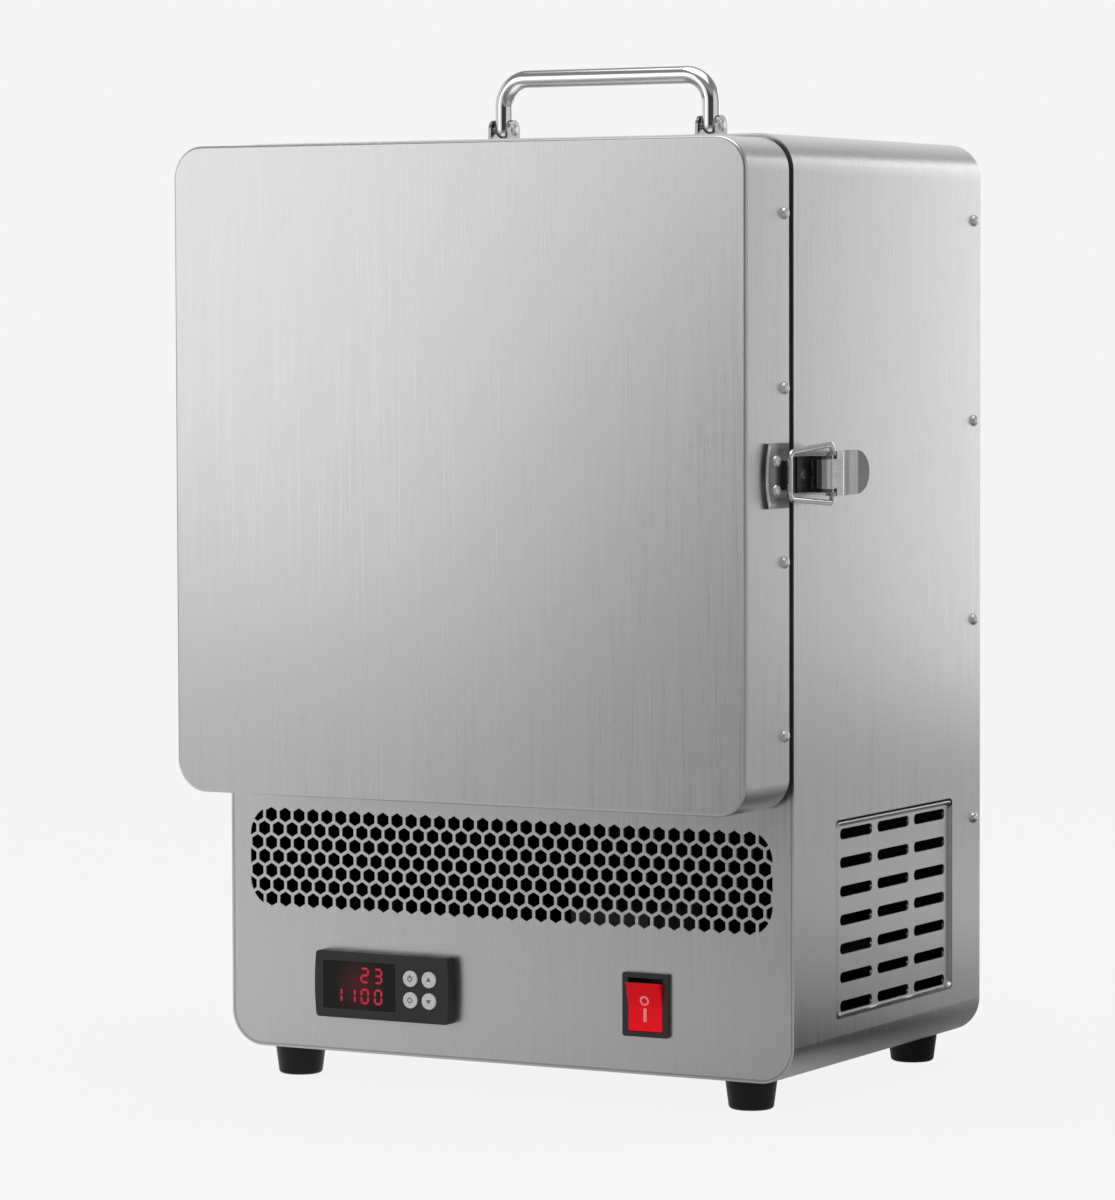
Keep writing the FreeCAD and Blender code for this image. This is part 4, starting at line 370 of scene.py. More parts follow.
class Shader(Nodes):
    """The nodes of one material round its main surface shader."""

    def __init__(self, name, **sockets):
        self.material = bpy.data.materials.new(name)
        self.material.use_nodes = True
        super().__init__(self.material.node_tree)
        self.surface = self.tree.nodes["Principled BSDF"]
        self.set(**sockets)

    def set(self, **sockets):
        for word, source in sockets.items():
            self.feed(source, self.surface.inputs[word.replace("_", " ")])

    def noise(self, scale, detail=4.0):
        """Noise in the piece's own coordinates, with one scale or one for each axis."""
        scales = scale if isinstance(scale, tuple) else (scale, scale, scale)
        vector = self.add("Mapping", Vector=self.place["Object"], Scale=scales).outputs["Vector"]
        node = self.add("TexNoise", Vector=vector, Scale=1.0, Detail=detail, Roughness=NOISE_ROUGHNESS)
        return node.outputs["Fac"]

    def mix(self, share, first, second):
        """A mix of two colours, whose sockets share their names with those for numbers."""
        node = self.add("Mix", {"data_type": "RGBA"}, i0=share, i6=first, i7=second)
        return node.outputs[2]

    def between(self, share, rgb, tones):
        """A colour between a darker and a lighter tone of one colour."""
        dark, light = tones
        return self.mix(share, shade(rgb, dark), shade(rgb, light))

    def repaint(self, mask, rgb):
        """Paint what the mask picks in another colour."""
        painted = self.surface.inputs["Base Color"].links[0].from_socket
        self.set(Base_Color=self.mix(mask, painted, rgb))

    def vary_rough(self, source, rough, shares, start=0.3, end=0.7):
        low, high = shares
        self.set(Roughness=self.span(source, rough * low, rough * high, start, end))

    def bump(self, source, strength, distance):
        node = self.add("Bump", Height=source, Strength=strength, Distance=distance)
        self.set(Normal=node.outputs["Normal"])


def shade(rgb, amount):
    return tuple(min(1.0, part * amount) for part in rgb)


def speckle(shader, rgb, spread, scale, detail=4.0):
    """A colour that varies a little over the surface."""
    grain = shader.noise(scale, detail)
    shader.set(Base_Color=shader.between(shader.span(grain, 0, 1), rgb, (1 - spread, 1 + spread)))
    return grain


def brushed(name, rgb, fine, long, rough, depth, anisotropy):
    """Brushed sheet: streaks that are narrow along the axes in fine and long along the others."""
    shader = Shader(name, Metallic=1.0, Anisotropic=anisotropy)
    streak = shader.noise(tuple(FINE_GRAIN if axis in fine else long for axis in "xyz"), detail=5.0)
    wash = shader.noise(tuple(BROAD_GRAIN if axis in fine else long / 2 for axis in "xyz"), detail=3.0)
    grain = shader.blend(STREAK_SHARE, streak, wash)
    shader.set(Base_Color=shader.between(shader.span(grain, 0, 1, *TONE_STRETCH), rgb, SHEET_TONES))
    shader.vary_rough(grain, rough, SHEET_ROUGH, *ROUGH_STRETCH)
    shader.bump(grain, depth, 0.4 * MM)
    tangent = shader.add("Tangent", {"direction_type": "RADIAL", "axis": "Z"})
    shader.set(Tangent=tangent.outputs["Tangent"])
    return shader


def plastic(name, rgb, rough, scale=2600.0, depth=0.06, **sockets):
    """Moulded plastic with a fine spark-eroded grain."""
    shader = Shader(name, **sockets)
    grain = speckle(shader, rgb, spread=0.10, scale=scale, detail=3.0)
    shader.vary_rough(shader.noise(PLASTIC_SMUDGE, detail=3.0), rough, PLASTIC_ROUGH)
    shader.bump(grain, depth, 0.1 * MM)
    return shader


def polished(name, rgb, rough, along):
    """Bright metal with faint polishing lines along an axis, and smudges."""
    shader = Shader(name, Metallic=1.0)
    lines = shader.noise(tuple(POLISH_ALONG if axis == along else POLISH_ACROSS for axis in "xyz"))
    wear = shader.blend(0.5, lines, shader.noise(POLISH_SMUDGE))
    shader.vary_rough(wear, rough, POLISH_ROUGH)
    shader.set(Base_Color=shader.between(shader.span(wear, 0, 1), rgb, POLISH_TONES))
    shader.bump(lines, 0.02, 0.2 * MM)
    return shader


def grainy(name, rgb, spread, scale, detail, strength, depth, **sockets):
    """Board, ceramic or scaled metal with a speckle that stands up a little."""
    shader = Shader(name, **sockets)
    shader.bump(speckle(shader, rgb, spread, scale, detail), strength, depth)
    return shader


# Pieces
def node(name):
    """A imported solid, by name."""
    if name not in frame["nodes"]:
        raise RuntimeError(f"the packed model has no node {name}")
    return frame["nodes"][name]


def dress(shader, *names):
    """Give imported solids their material."""
    for name in names:
        mesh = node(name).data
        mesh.materials.clear()
        mesh.materials.append(shader.material)


def new_piece(name, shape, shader, body):
    """Turn a bmesh into a piece that rides on a body."""
    mesh = bpy.data.meshes.new(name)
    bmesh.ops.recalc_face_normals(shape, faces=shape.faces)
    shape.to_mesh(mesh)
    shape.free()
    mesh.materials.append(shader.material)
    piece = bpy.data.objects.new(name, mesh)
    bpy.context.scene.collection.objects.link(piece)
    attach(piece, body)


def raised(shape, outline, rise, transform):
    """Add a low prism over a flat outline, with a slightly smaller top."""
    middle = sum((Vector(spot) for spot in outline), Vector((0, 0))) / len(outline)
    lower = [shape.verts.new(transform @ Vector((*spot, 0))) for spot in outline]
    upper = []
    for spot in outline:
        inner = middle + (Vector(spot) - middle) * MARK_TOP
        upper.append(shape.verts.new(transform @ Vector((*inner, rise))))
    shape.faces.new(upper)
    for number in range(len(outline)):
        following = (number + 1) % len(outline)
        shape.faces.new((lower[number], lower[following], upper[following], upper[number]))


def ring(shape, outer, rise, transform, steps=40):
    """Add a low flat ring."""
    inner = outer * RING_BORE
    rows = []
    for radius, height in (
        (outer, 0), (outer * (1 - RING_SLOPE), rise), (inner * (1 + RING_SLOPE), rise), (inner, 0),
    ):
        turns = [2 * math.pi * step / steps for step in range(steps)]
        spots = [Vector((radius * math.cos(turn), radius * math.sin(turn), height)) for turn in turns]
        rows.append([shape.verts.new(transform @ spot) for spot in spots])
    band(shape, rows)


def rounded_loop(wide, high, radius, steps=8):
    """Points round a rectangle with rounded corners, about its middle."""
    spots = []
    for number, (right, up) in enumerate(((1, 1), (-1, 1), (-1, -1), (1, -1))):
        centre = Vector((right * (wide / 2 - radius), up * (high / 2 - radius)))
        for step in range(steps + 1):
            turn = (number + step / steps) * math.pi / 2
            spots.append(centre + Vector((math.cos(turn), math.sin(turn))) * radius)
    return spots


def band(shape, loops, closed=False):
    """Join loops of vertices of the same count with faces."""
    pairs = list(zip(loops, loops[1:]))
    if closed:
        pairs.append((loops[-1], loops[0]))
    count = len(loops[0])
    for first, second in pairs:
        for step in range(count):
            after = (step + 1) % count
            shape.faces.new((first[step], first[after], second[after], second[step]))


def facing_front(middle):
    """A plane whose X runs right, Y up and Z out of the front."""
    columns = Matrix(((1, 0, 0), (0, 0, -1), (0, 1, 0))).to_4x4()
    return Matrix.Translation(middle) @ columns


def front_of(name):
    """The middle of a node's front face."""
    low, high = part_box(name)
    return Vector(((low.x + high.x) / 2, low.y, (low.z + high.z) / 2))


def segment(kind, wide, high, stroke):
    """The six corners of one lit bar of a seven-segment digit, about the digit's middle."""
    half = stroke / 2
    level = {"a": high / 2, "g": 0.0, "d": -high / 2}
    if kind in level:
        reach = wide / 2 - SEGMENT_GAP * stroke
        y = level[kind]
        return [
            (-reach, y), (-reach + half, y - half), (reach - half, y - half), (reach, y),
            (reach - half, y + half), (-reach + half, y + half),
        ]
    x = wide / 2 if kind in "bc" else -wide / 2
    middle = high / 4 if kind in "bf" else -high / 4
    reach = high / 4 - SEGMENT_GAP * stroke
    return [
        (x, middle - reach), (x + half, middle - reach + half), (x + half, middle + reach - half),
        (x, middle + reach), (x - half, middle + reach - half), (x - half, middle - reach + half),
    ]


# Operators
class FURNACE_OT_sheet_metal(bpy.types.Operator):
    """Brushed stainless casing, door, panels and vent plate"""
    bl_idname = "furnace.sheet_metal"
    bl_label = "Sheet metal"

    def execute(self, context):
        tint, finish = context.scene.furnace_colours, context.scene.furnace_finish
        sizes = context.scene.furnace_sizes
        steel, inside = tuple(tint.steel), tuple(tint.inside)
        grain = (finish.steel_grain, finish.steel_anisotropy)
        brush = (finish.steel_rough, *grain)

        casing = brushed("casing_steel", steel, "y", SHEET_STREAK, *brush)
        self.paint_casing_shade(casing, inside, sizes.casing_lip)
        dress(casing, "casing")
        dress(brushed("door_steel", steel, "xy", SHEET_STREAK, *brush), "door_shell")
        for name, inward in (("control_panel", 1), ("rear_panel", -1)):
            panel = brushed(f"{name}_steel", steel, "xy", SHEET_STREAK, *brush)
            # Painted shade on the panel's inner faces
            facing = panel.dot(panel.place["Normal"], (0, inward, 0))
            panel.repaint(panel.math("GREATER_THAN", facing, FACING), inside)
            dress(panel, name)
        plate = brushed("plate_steel", shade(steel, TONES["plate"]), "x", PLATE_STREAK, *brush)
        dress(plate, "chamber_face_plate", "door_liner")
        dress(brushed("vent_steel", steel, "y", PLATE_STREAK, *brush), "vent_plate")
        # The vent rim is a darker copy of the steel, as painted shade
        rim = brushed("rim_steel", shade(steel, TONES["rim"]), "y", PLATE_STREAK, *brush)
        shadow = plastic("gap_shadow", shade(steel, TONES["gap"]), finish.gap_rough)
        self.slope_vent(sizes, rim, shadow)
        # The seam is a darker copy of the steel, as painted shade in the panel gap
        seam = brushed("seam_steel", shade(steel, TONES["seam"]), "xy", PLATE_STREAK, *brush)
        self.line_seam("panel_seam_front", sizes, seam, -1)
        self.line_seam("panel_seam_rear", sizes, seam, 1)
        shelf = brushed("shelf_zinc", tuple(tint.zinc), "x", SHELF_STREAK, finish.shelf_rough, *grain)
        dress(shelf, "partition")
        return {"FINISHED"}

    def paint_casing_shade(self, steel, rgb, lip):
        """Paint shade on the casing's inner faces: dark, up to a lip of bare steel at both ends."""
        low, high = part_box("casing")
        offset = steel.vector("SUBTRACT", steel.place["Object"], tuple((low + high) / 2))
        outward = steel.vector("MULTIPLY", offset, (1, 0, 1))
        inner = steel.math("LESS_THAN", steel.dot(outward, steel.place["Normal"]), 0.0)
        along = steel.math("ABSOLUTE", steel.dot(offset, (0, 1, 0)))
        deep = steel.math("LESS_THAN", along, (high.y - low.y) / 2 - lip)
        steel.repaint(steel.math("MULTIPLY", inner, deep), rgb)

    def slope_vent(self, sizes, steel, shadow):
        """A sloped rim down to the vent plate, with a dark strip over and behind it as painted shadow in
        the gap.
        """
        low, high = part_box("vent_plate")
        middle = Vector(((low.y + high.y) / 2, low.z + sizes.vent_sill + sizes.vent_height / 2))
        face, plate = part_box("casing")[1].x - HAIR, high.x
        size = Vector((sizes.vent_width, sizes.vent_height))
        gap = Vector((sizes.vent_gap_rear, sizes.vent_gap_top))
        slope = Vector((sizes.vent_front + sizes.vent_rear, 2 * sizes.vent_slope))
        ahead = Vector((sizes.vent_front - sizes.vent_rear, 0)) / 2
        thin = sizes.vent_rear / 2
        crown = Vector((1, 1)) * (sizes.vent_lip + thin)
        window, edge = (size, middle), (size - gap, middle - gap / 2)
        lip = (edge[0] - crown, edge[1] + Vector((1, 1)) * (sizes.vent_lip - thin) / 2)
        foot = (edge[0] - slope, edge[1] + ahead)
        crest = face + sizes.vent_rise
        # vent_gap is a dark strip of painted shadow in the open gap
        for name, rows, paint in (
            ("vent_rim", ((*edge, face), (*lip, crest), (*foot, plate), (*edge, plate)), steel),
            ("vent_gap", ((*window, face), (*edge, plate + TUCK), (*window, plate)), shadow),
        ):
            shape = bmesh.new()
            loops = []
            for spread, centre, x in rows:
                spots = [centre + spot for spot in rounded_loop(*spread, sizes.vent_corner)]
                loops.append([shape.verts.new((x, *spot)) for spot in spots])
            band(shape, loops, closed=True)
            new_piece(name, shape, paint, "cabinet")

    def line_seam(self, name, sizes, steel, outward):
        """A fine darker line over the gap between the casing and a panel, as painted shade in the gap."""
        low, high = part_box("casing")
        middle = (low + high) / 2
        face = high.y if outward > 0 else low.y
        shape = bmesh.new()
        loops = []
        for step, rise in ((-0.5, HAIR), (0.5, HAIR), (0.0, -TUCK)):
            inset = sizes.seam_inset + step * sizes.seam_width
            wide, tall = high.x - low.x - 2 * inset, high.z - low.z - 2 * inset
            spots = rounded_loop(wide, tall, sizes.casing_corner - inset, steps=16)
            y = face + outward * rise
            loops.append([shape.verts.new((middle.x + x, y, middle.z + z)) for x, z in spots])
        band(shape, loops, closed=True)
        new_piece(name, shape, steel, "cabinet")


class FURNACE_OT_chamber(bpy.types.Operator):
    """Refractory boards, hearth, heating elements and thermocouple"""
    bl_idname = "furnace.chamber"
    bl_label = "Chamber"

    def execute(self, context):
        tint = context.scene.furnace_colours
        board = grainy(
            "fibre_board", tuple(tint.board), spread=0.07, scale=420.0, detail=8.0,
            strength=0.5, depth=0.6 * MM, Roughness=0.95,
        )
        sides = ("floor", "roof", "left", "right", "rear")
        dress(board, "door_insulation", *(f"refractory_{side}" for side in sides))
        hearth = grainy(
            "hearth_ceramic", tuple(tint.hearth), spread=0.12, scale=900.0, detail=6.0,
            strength=0.35, depth=0.5 * MM, Roughness=0.85,
        )
        dress(hearth, "hearth_plate")
        porcelain = grainy(
            "bushing_porcelain", tuple(tint.porcelain), spread=0.05, scale=700.0, detail=4.0,
            strength=0.1, depth=0.3 * MM, Roughness=0.5,
        )
        dress(porcelain, "element_bushings")
        heater = grainy(
            "heater_alloy", tuple(tint.heater), spread=0.35, scale=500.0, detail=6.0,
            strength=0.2, depth=0.3 * MM, Metallic=1.0, Roughness=0.6,
        )
        dress(heater, "heating_element_left", "heating_element_right", "thermocouple")
        return {"FINISHED"}


class FURNACE_OT_fittings(bpy.types.Operator):
    """Polished handle, latch, hinges and fasteners"""
    bl_idname = "furnace.fittings"
    bl_label = "Fittings"

    def execute(self, context):
        tint, finish = context.scene.furnace_colours, context.scene.furnace_finish
        sizes = context.scene.furnace_sizes
        bright, plating, plain = tuple(tint.polished), tuple(tint.latch), tuple(tint.fastener)
        dress(polished("handle_steel", bright, finish.polish_rough, "x"), "handle")
        # Brackets: a darker copy of the polished steel, as painted shade
        bracket = polished("bracket_steel", shade(bright, TONES["bracket"]), finish.bracket_rough, "x")
        dress(bracket, "handle_bracket_left", "handle_bracket_right")
        # Lever: a darker copy of the polished steel, as painted shade
        lever = polished("latch_steel", shade(bright, TONES["lever"]), finish.latch_rough, "y")
        self.bend_lever(lever)
        dress(lever, "latch_lever")
        dress(polished("wire_steel", bright, finish.polish_rough, "y"), "latch_bail")
        base = polished("latch_base_steel", plating, finish.base_rough, "y")
        dress(base, "latch_base", "latch_rivets")
        # Keeper: its own paler steel, with painted shade laid over it
        keeper = polished("keeper_steel", shade(plating, TONES["keeper"]), finish.keeper_rough, "y")
        self.paint_keeper_shade(keeper, plating, sizes)
        dress(keeper, "latch_keeper")
        self.turn_bead(sizes, polished("bead_steel", bright, finish.keeper_rough, "z"))
        hinge = polished("hinge_steel", shade(plain, TONES["hinge"]), finish.hinge_rough, "z")
        dress(hinge, "hinge_leaves_casing", "hinge_leaves_door", "hinge_pins")
        fastener = polished("fastener_steel", plain, finish.fastener_rough, "x")
        dress(
            fastener, "foot_screws", "foot_nuts", "bracket_screws", "handle_pins", "hinge_screws_casing",
            "hinge_screws_door", "latch_pin", "keeper_rivets", "rear_panel_screws", "door_screws",
        )
        return {"FINISHED"}

    def bend_lever(self, steel):
        """Shade the lever's outer face as if it were bent further, up to its turned-out tip."""
        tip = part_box("latch_lever")[1].y
        along = steel.dot(steel.place["Object"], (0, 1, 0))
        height = 0.0
        for start, end, rise in LEVER_BENDS:
            step = steel.span(along, 0.0, rise * MM, tip - start * MM, tip - end * MM)
            height = steel.math("ADD", step, height)
        steel.bump(height, 1.0, 1.0)

    def paint_keeper_shade(self, steel, rgb, sizes):
        """Painted shade on the keeper's front edge and towards the casing, where the bail hooks on, in the
        darker latch colour.
        """
        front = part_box("latch_keeper")[0].y + sizes.keeper_bright
        along = steel.dot(steel.place["Object"], (0, 1, 0))
        share = steel.span(along, 0.0, 1.0, front, front + sizes.keeper_fade)
        edge = steel.math("GREATER_THAN", steel.dot(steel.place["Normal"], (0, -1, 0)), FACING)
        steel.repaint(steel.math("MAXIMUM", share, edge), rgb)

    def turn_bead(self, sizes, steel):
        """A low bead along the bowed front edge of the keeper."""
        low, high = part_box("latch_keeper")
        bow, half = sizes.keeper_bow, (high.z - low.z) / 2
        radius = (half * half + bow * bow) / (2 * bow)
        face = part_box("casing")[1].x + sizes.keeper_sheet
        middle = Vector((face, low.y + radius, low.z + half))
        wide, rise, inset = sizes.bead_width, sizes.bead_rise, sizes.bead_inset
        profile = [(inset, -TUCK), (inset + sizes.bead_slope, rise), (wide - inset, rise), (wide, -TUCK)]
        reach = math.asin((half - sizes.bead_end) / radius)
        shape = bmesh.new()
        rows = []
        for step in range(BEAD_STEPS + 1):
            turn = reach * (2 * step / BEAD_STEPS - 1)
            across = Vector((0, -math.cos(turn), math.sin(turn)))
            spots = [middle + across * (radius - depth) + Vector((up, 0, 0)) for depth, up in profile]
            rows.append([shape.verts.new(spot) for spot in spots])
        band(shape, rows)
        shape.faces.new(rows[0])
        shape.faces.new(rows[-1][::-1])
        new_piece("keeper_bead", shape, steel, "door")


class FURNACE_OT_rubber(bpy.types.Operator):
    """Rubber feet and door gasket"""
    bl_idname = "furnace.rubber"
    bl_label = "Rubber"

    def execute(self, context):
        rubber, finish = tuple(context.scene.furnace_colours.rubber), context.scene.furnace_finish
        foot = plastic(
            "foot_rubber", rubber, finish.foot_rough, scale=1500.0, depth=0.05, Specular_IOR_Level=0.3
        )
        dress(foot, *(f"foot_{end}_{side}" for end in ("front", "rear") for side in ("left", "right")))
        gasket = plastic(
            "gasket_rubber", shade(rubber, TONES["gasket"]), finish.gasket_rough, scale=900.0, depth=0.12
        )
        dress(gasket, "door_gasket")
        return {"FINISHED"}


class FURNACE_OT_controller(bpy.types.Operator):
    """Controller bezel, display with its lit digits, and the keys with their marks"""
    bl_idname = "furnace.controller"
    bl_label = "Controller"

    def execute(self, context):
        tint, sizes = context.scene.furnace_colours, context.scene.furnace_sizes
        finish = context.scene.furnace_finish
        bezel = plastic("bezel_plastic", tuple(tint.bezel), finish.bezel_rough, Specular_IOR_Level=0.35)
        dress(bezel, "controller_bezel", "controller_housing")
        window = Shader("display_window", Roughness=finish.window_rough, Specular_IOR_Level=0.2)
        speckle(window, tuple(tint.display), spread=0.12, scale=200.0)
        # The window's haze is a painted red glow round the lit digits
        middle = front_of("controller_bezel") - Vector((sizes.haze_inset, 0, 0))
        away = window.far(window.place["Object"], tuple(middle))
        share = window.span(away, 1, 0, sizes.haze_core, sizes.haze_reach)
        haze = window.mix(share, (0, 0, 0), tuple(tint.haze))
        window.set(Emission_Color=haze, Emission_Strength=finish.haze_glow)
        dress(window, "controller_window")
        self.light_digits(tint, sizes, finish)
        key = plastic("key_plastic", tuple(tint.key), finish.key_rough, scale=1800.0, depth=0.05)
        dress(key, "key_1", "key_2", "key_3", "key_4")
        self.print_keys(sizes, plastic("key_ink", tuple(tint.key_mark), finish.ink_rough))
        return {"FINISHED"}

    def light_digits(self, tint, sizes, finish):
        """Two rows of seven-segment digits against the window's face."""
        lit = Shader("lit_segment", Base_Color=tuple(tint.digit_base), Roughness=finish.digit_rough)
        glow = lit.span(lit.noise(DIGIT_GLOW, detail=2.0), 0, 1)
        red = lit.between(glow, tuple(tint.digit), DIGIT_TONES)
        lit.set(Emission_Color=red, Emission_Strength=finish.display_glow)
        shape = bmesh.new()
        spot = front_of("controller_bezel")
        spot.y = front_of("controller_window").y
        for text, rise in (("23", sizes.row_lift), ("1100", -sizes.row_drop)):
            for number, figure in enumerate(reversed(text)):
                middle = spot + Vector((-sizes.digit_inset - number * sizes.digit_pitch, 0, rise))
                for kind in SEGMENTS[figure]:
                    corners = segment(kind, sizes.digit_width, sizes.digit_height, sizes.segment_width)
                    raised(shape, corners, sizes.mark_rise, facing_front(middle))
        new_piece("display_digits", shape, lit, "cabinet")

    def print_keys(self, sizes, ink):
        """One plain mark on each key: a ring with a stem, an arrow up, a ring and an arrow down."""
        size = sizes.key_mark
        for number in range(1, 5):
            name = f"key_{number}"
            plane = facing_front(front_of(name))
            shape = bmesh.new()
            if number in (2, 4):
                sign = 1 if number == 2 else -1
                foot = -ARROW_FOOT * size * sign
                arrow = [(-size, foot), (size, foot), (0, size * sign)]
                raised(shape, arrow if sign > 0 else arrow[::-1], sizes.mark_rise, plane)
            else:
                ring(shape, size, sizes.mark_rise, plane)
                if number == 1:
                    half, top = STEM_HALF * size, STEM_TOP * size
                    stem = [(-half, 0), (half, 0), (half, top), (-half, top)]
                    raised(shape, stem, sizes.mark_rise * STEM_RISE, plane)
            new_piece(f"key_mark_{number}", shape, ink, name)


class FURNACE_OT_switch(bpy.types.Operator):
    """Switch housing, lit rocker and its marks"""
    bl_idname = "furnace.switch"
    bl_label = "Switch"

    def execute(self, context):
        tint, finish = context.scene.furnace_colours, context.scene.furnace_finish
        housing = plastic("switch_plastic", tuple(tint.switch), finish.switch_rough)
        dress(housing, "switch_housing", "mains_inlet")
        red = tuple(tint.rocker)
        rocker = Shader("rocker_plastic", Roughness=finish.rocker_rough, Specular_IOR_Level=0.15)
        speckle(rocker, red, spread=0.08, scale=300.0)
        low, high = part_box("rocker")
        height = rocker.dot(rocker.place["Object"], (0, 0, 1))
        glow = rocker.between(rocker.span(height, 1.0, 0.0, low.z, high.z), red, ROCKER_TONES)
        rocker.set(Emission_Color=glow, Emission_Strength=finish.rocker_glow)
        dress(rocker, "rocker")
        pale = tuple(tint.rocker_mark)
        ink = plastic("rocker_ink", pale, finish.rocker_ink_rough)
        ink.set(Emission_Color=pale, Emission_Strength=finish.mark_glow)
        self.mark_rocker(context.scene.furnace_sizes, ink)
        brass = polished("contact_brass", tuple(tint.brass), finish.brass_rough, "y")
        dress(brass, "switch_terminals", "inlet_blades")
        return {"FINISHED"}

    def mark_rocker(self, sizes, ink):
        """A ring on the upper half and a bar on the lower half, each in the plane of its face."""
        joint = next(item for item in frame["joints"] if item["name"] == "rocker_tip")
        tilt = math.radians(joint["range_deg"][1] / 2)
        fold = Matrix.Rotation(tilt, 3, "X") @ Vector((0, -sizes.rocker_fold, 0))
        crease = Matrix.Translation(Vector(joint["pos_m"]) + fold)
        upright = facing_front(Vector((0, 0, 0)))
        upper = crease @ Matrix.Rotation(2 * tilt, 4, "X") @ upright
        shape = bmesh.new()
        ring_place = upper @ Matrix.Translation((0, sizes.ring_lift, 0))
        ring(shape, sizes.rocker_ring, sizes.mark_rise, ring_place)
        half, tall = sizes.bar_width / 2, sizes.rocker_bar / 2
        bar = [(-half, -tall), (half, -tall), (half, tall), (-half, tall)]
        bar_place = crease @ upright @ Matrix.Translation((0, -sizes.bar_drop, 0))
        raised(shape, bar, sizes.mark_rise, bar_place)
        new_piece("rocker_marks", shape, ink, "rocker")


class FURNACE_OT_electrics(bpy.types.Operator):
    """Power relay and heat sink in the bay"""
    bl_idname = "furnace.electrics"
    bl_label = "Electrics"

    def execute(self, context):
        tint, finish = context.scene.furnace_colours, context.scene.furnace_finish
        dress(plastic("relay_plastic", tuple(tint.relay), finish.relay_rough), "power_relay")
        sink = brushed(
            "sink_aluminium", tuple(tint.sink), "xz", FIN_STREAK, finish.shelf_rough, finish.sink_grain,
            finish.steel_anisotropy,
        )
        dress(sink, "heat_sink")
        return {"FINISHED"}


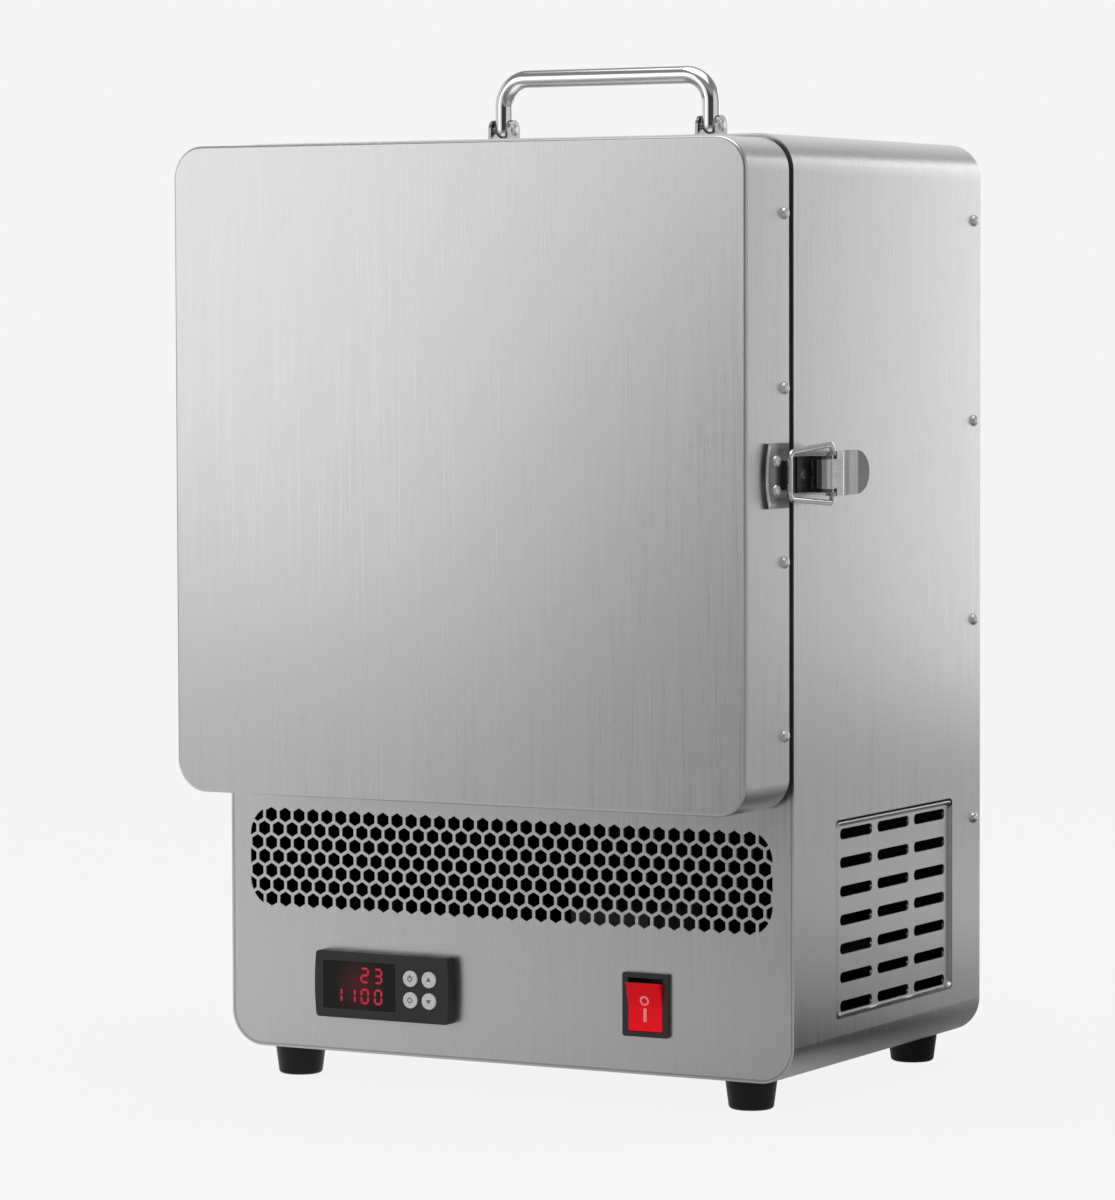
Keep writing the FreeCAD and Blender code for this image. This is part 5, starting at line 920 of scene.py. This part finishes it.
class FURNACE_OT_stage(bpy.types.Operator):
    """Pale floor, soft light and the camera"""
    bl_idname = "furnace.stage"
    bl_label = "Stage"

    def execute(self, context):
        scene, stage = context.scene, context.scene.furnace_stage
        pale = tuple(scene.furnace_colours.floor)
        self.lay_floor(scene, stage, pale)
        self.light_studio(scene, stage, pale)
        self.hang_lamps(scene)
        self.set_camera(scene, stage)
        scene.view_settings.view_transform = "Standard"
        return {"FINISHED"}

    def lay_floor(self, scene, stage, rgb):
        """A floor that the camera sees as plain and metal shows with painted pools of light and painted
        shadows.
        """
        half = stage.floor_size / 2
        corners = [(-half, -half, 0), (half, -half, 0), (half, half, 0), (-half, half, 0)]
        mesh = bpy.data.meshes.new("floor")
        mesh.from_pydata(corners, [], [(0, 1, 2, 3)])
        paint = Shader("floor_paint", Roughness=0.9, Specular_IOR_Level=0.0, Emission_Color=rgb)
        ray = paint.add("LightPath").outputs
        spot = paint.place["Object"]
        middle, inner, outer = WIDE_POOL
        tone = paint.span(paint.far(spot, middle), stage.floor_sheen, stage.floor_far, inner, outer)
        for middle, inner, outer in PAINTED_SHADOWS:
            shadow_share = paint.span(paint.far(spot, middle), stage.floor_shadow, 1.0, inner, outer)
            tone = paint.math("MULTIPLY", tone, shadow_share)
        for middle, inner, outer, strength in SMALL_POOLS:
            pool = paint.span(paint.far(spot, middle), getattr(stage, strength), 0.0, inner, outer)
            tone = paint.math("MAXIMUM", tone, pool)
        mirrored = paint.mirrored(ray)
        sheen = paint.math("MULTIPLY", mirrored, tone)
        seen = paint.math("MULTIPLY", ray["Is Camera Ray"], stage.floor_seen)
        shown = paint.math("MAXIMUM", mirrored, ray["Is Camera Ray"])
        paint.set(Base_Color=paint.span(shown, stage.floor_bounce, stage.floor_base, 0, 1))
        paint.set(Emission_Strength=paint.math("MAXIMUM", seen, sheen))
        mesh.materials.append(paint.material)
        floor = bpy.data.objects.new("floor", mesh)
        scene.collection.objects.link(floor)

    def light_studio(self, scene, stage, rgb):
        """What metal shows of the studio, with white for the camera and an even light for the rest."""
        world = bpy.data.worlds.new("studio")
        scene.world = world
        world.use_nodes = True
        studio = Nodes(world.node_tree)
        ray = studio.add("LightPath").outputs
        way = studio.place["Generated"]
        height = studio.dot(way, (0, 0, 1))
        ahead, begin, full = DIM_FRONT
        front = studio.span(studio.dot(way, ahead), stage.tent, stage.dim, begin, full)
        front = studio.span(height, front, stage.tent, *FRONT_TOP)
        behind, begin, full = WHITE_SWEEP
        sweep = studio.span(studio.dot(way, behind), 0.0, 1.0, begin, full)
        walls = studio.math("MAXIMUM", front, sweep)
        walls = studio.math("MULTIPLY", walls, studio.span(height, 1, stage.ceiling, *WALL_TOP))
        across = studio.math("ABSOLUTE", studio.dot(way, (1, 0, 0)))
        flats = studio.span(studio.math("MAXIMUM", across, height), 0, stage.flats, *FLATS_EDGE)
        walls = studio.math("MAXIMUM", walls, flats)
        walls = studio.math("MAXIMUM", walls, ray["Is Camera Ray"])
        shown = studio.math("MAXIMUM", studio.mirrored(ray), ray["Is Camera Ray"])
        back = world.node_tree.nodes["Background"]
        studio.feed(rgb, back.inputs["Color"])
        studio.feed(studio.span(shown, stage.fill, walls, 0, 1), back.inputs["Strength"])

    def hang_lamps(self, scene):
        """The soft boxes, which the camera doesn't see."""
        for name, spot, aim, size, roll, power in LIGHTS:
            lamp = bpy.data.lights.new(name, "AREA")
            lamp.shape, lamp.energy = "RECTANGLE", power
            lamp.size, lamp.size_y = size
            item = bpy.data.objects.new(name, lamp)
            item.location = spot
            turn = (Vector(aim) - Vector(spot)).to_track_quat("-Z", "Y").to_matrix()
            item.rotation_euler = (turn @ Matrix.Rotation(math.radians(roll), 3, "Z")).to_euler()
            item.visible_camera = False
            scene.collection.objects.link(item)

    def set_camera(self, scene, stage):
        """The camera, turned round the object, down and about its own axis."""
        around, down = stage.azimuth, stage.elevation
        level = Vector((math.sin(around), -math.cos(around), 0))
        back = level * math.cos(down) + Vector((0, 0, math.sin(down)))
        right = Vector((math.cos(around), math.sin(around), 0))
        up = back.cross(right)
        side = right * math.cos(stage.roll) + up * math.sin(stage.roll)
        axes = Matrix((side, back.cross(side), back)).transposed()
        lens = bpy.data.cameras.new("camera")
        lens.lens, lens.sensor_width = stage.lens, stage.sensor
        lens.clip_end = stage.clip
        item = bpy.data.objects.new("camera", lens)
        item.matrix_world = Matrix.Translation(Vector(stage.spot)) @ axes.to_4x4()
        scene.collection.objects.link(item)
        scene.camera = item


OPERATORS = [
    FURNACE_OT_sheet_metal, FURNACE_OT_chamber, FURNACE_OT_fittings, FURNACE_OT_rubber,
    FURNACE_OT_controller, FURNACE_OT_switch, FURNACE_OT_electrics, FURNACE_OT_stage,
]
GROUPS = {
    "furnace_colours": FurnaceColours,
    "furnace_sizes": FurnaceSizes,
    "furnace_finish": FurnaceFinish,
    "furnace_stage": FurnaceStage,
}


class FURNACE_PT_sidebar(bpy.types.Panel):
    """Values and steps of the furnace's looks"""
    bl_label = "Muffle furnace"
    bl_idname = "FURNACE_PT_sidebar"
    bl_space_type = "VIEW_3D"
    bl_region_type = "UI"
    bl_category = "Furnace"

    def draw(self, context):
        for word, group in GROUPS.items():
            column = self.layout.box().column()
            for item in group.__annotations__:
                column.prop(getattr(context.scene, word), item)
        for operator in OPERATORS:
            self.layout.operator(operator.bl_idname)


CLASSES = [*GROUPS.values(), *OPERATORS, FURNACE_PT_sidebar]


def register():
    for item in CLASSES:
        bpy.utils.register_class(item)
    for word, group in GROUPS.items():
        setattr(bpy.types.Scene, word, bpy.props.PointerProperty(type=group))


def unregister():
    for word in GROUPS:
        delattr(bpy.types.Scene, word)
    for item in reversed(CLASSES):
        bpy.utils.unregister_class(item)


def main():
    register()
    for operator in OPERATORS:
        family, step = operator.bl_idname.split(".")
        getattr(getattr(bpy.ops, family), step)()


if __name__ == "__main__":
    main()
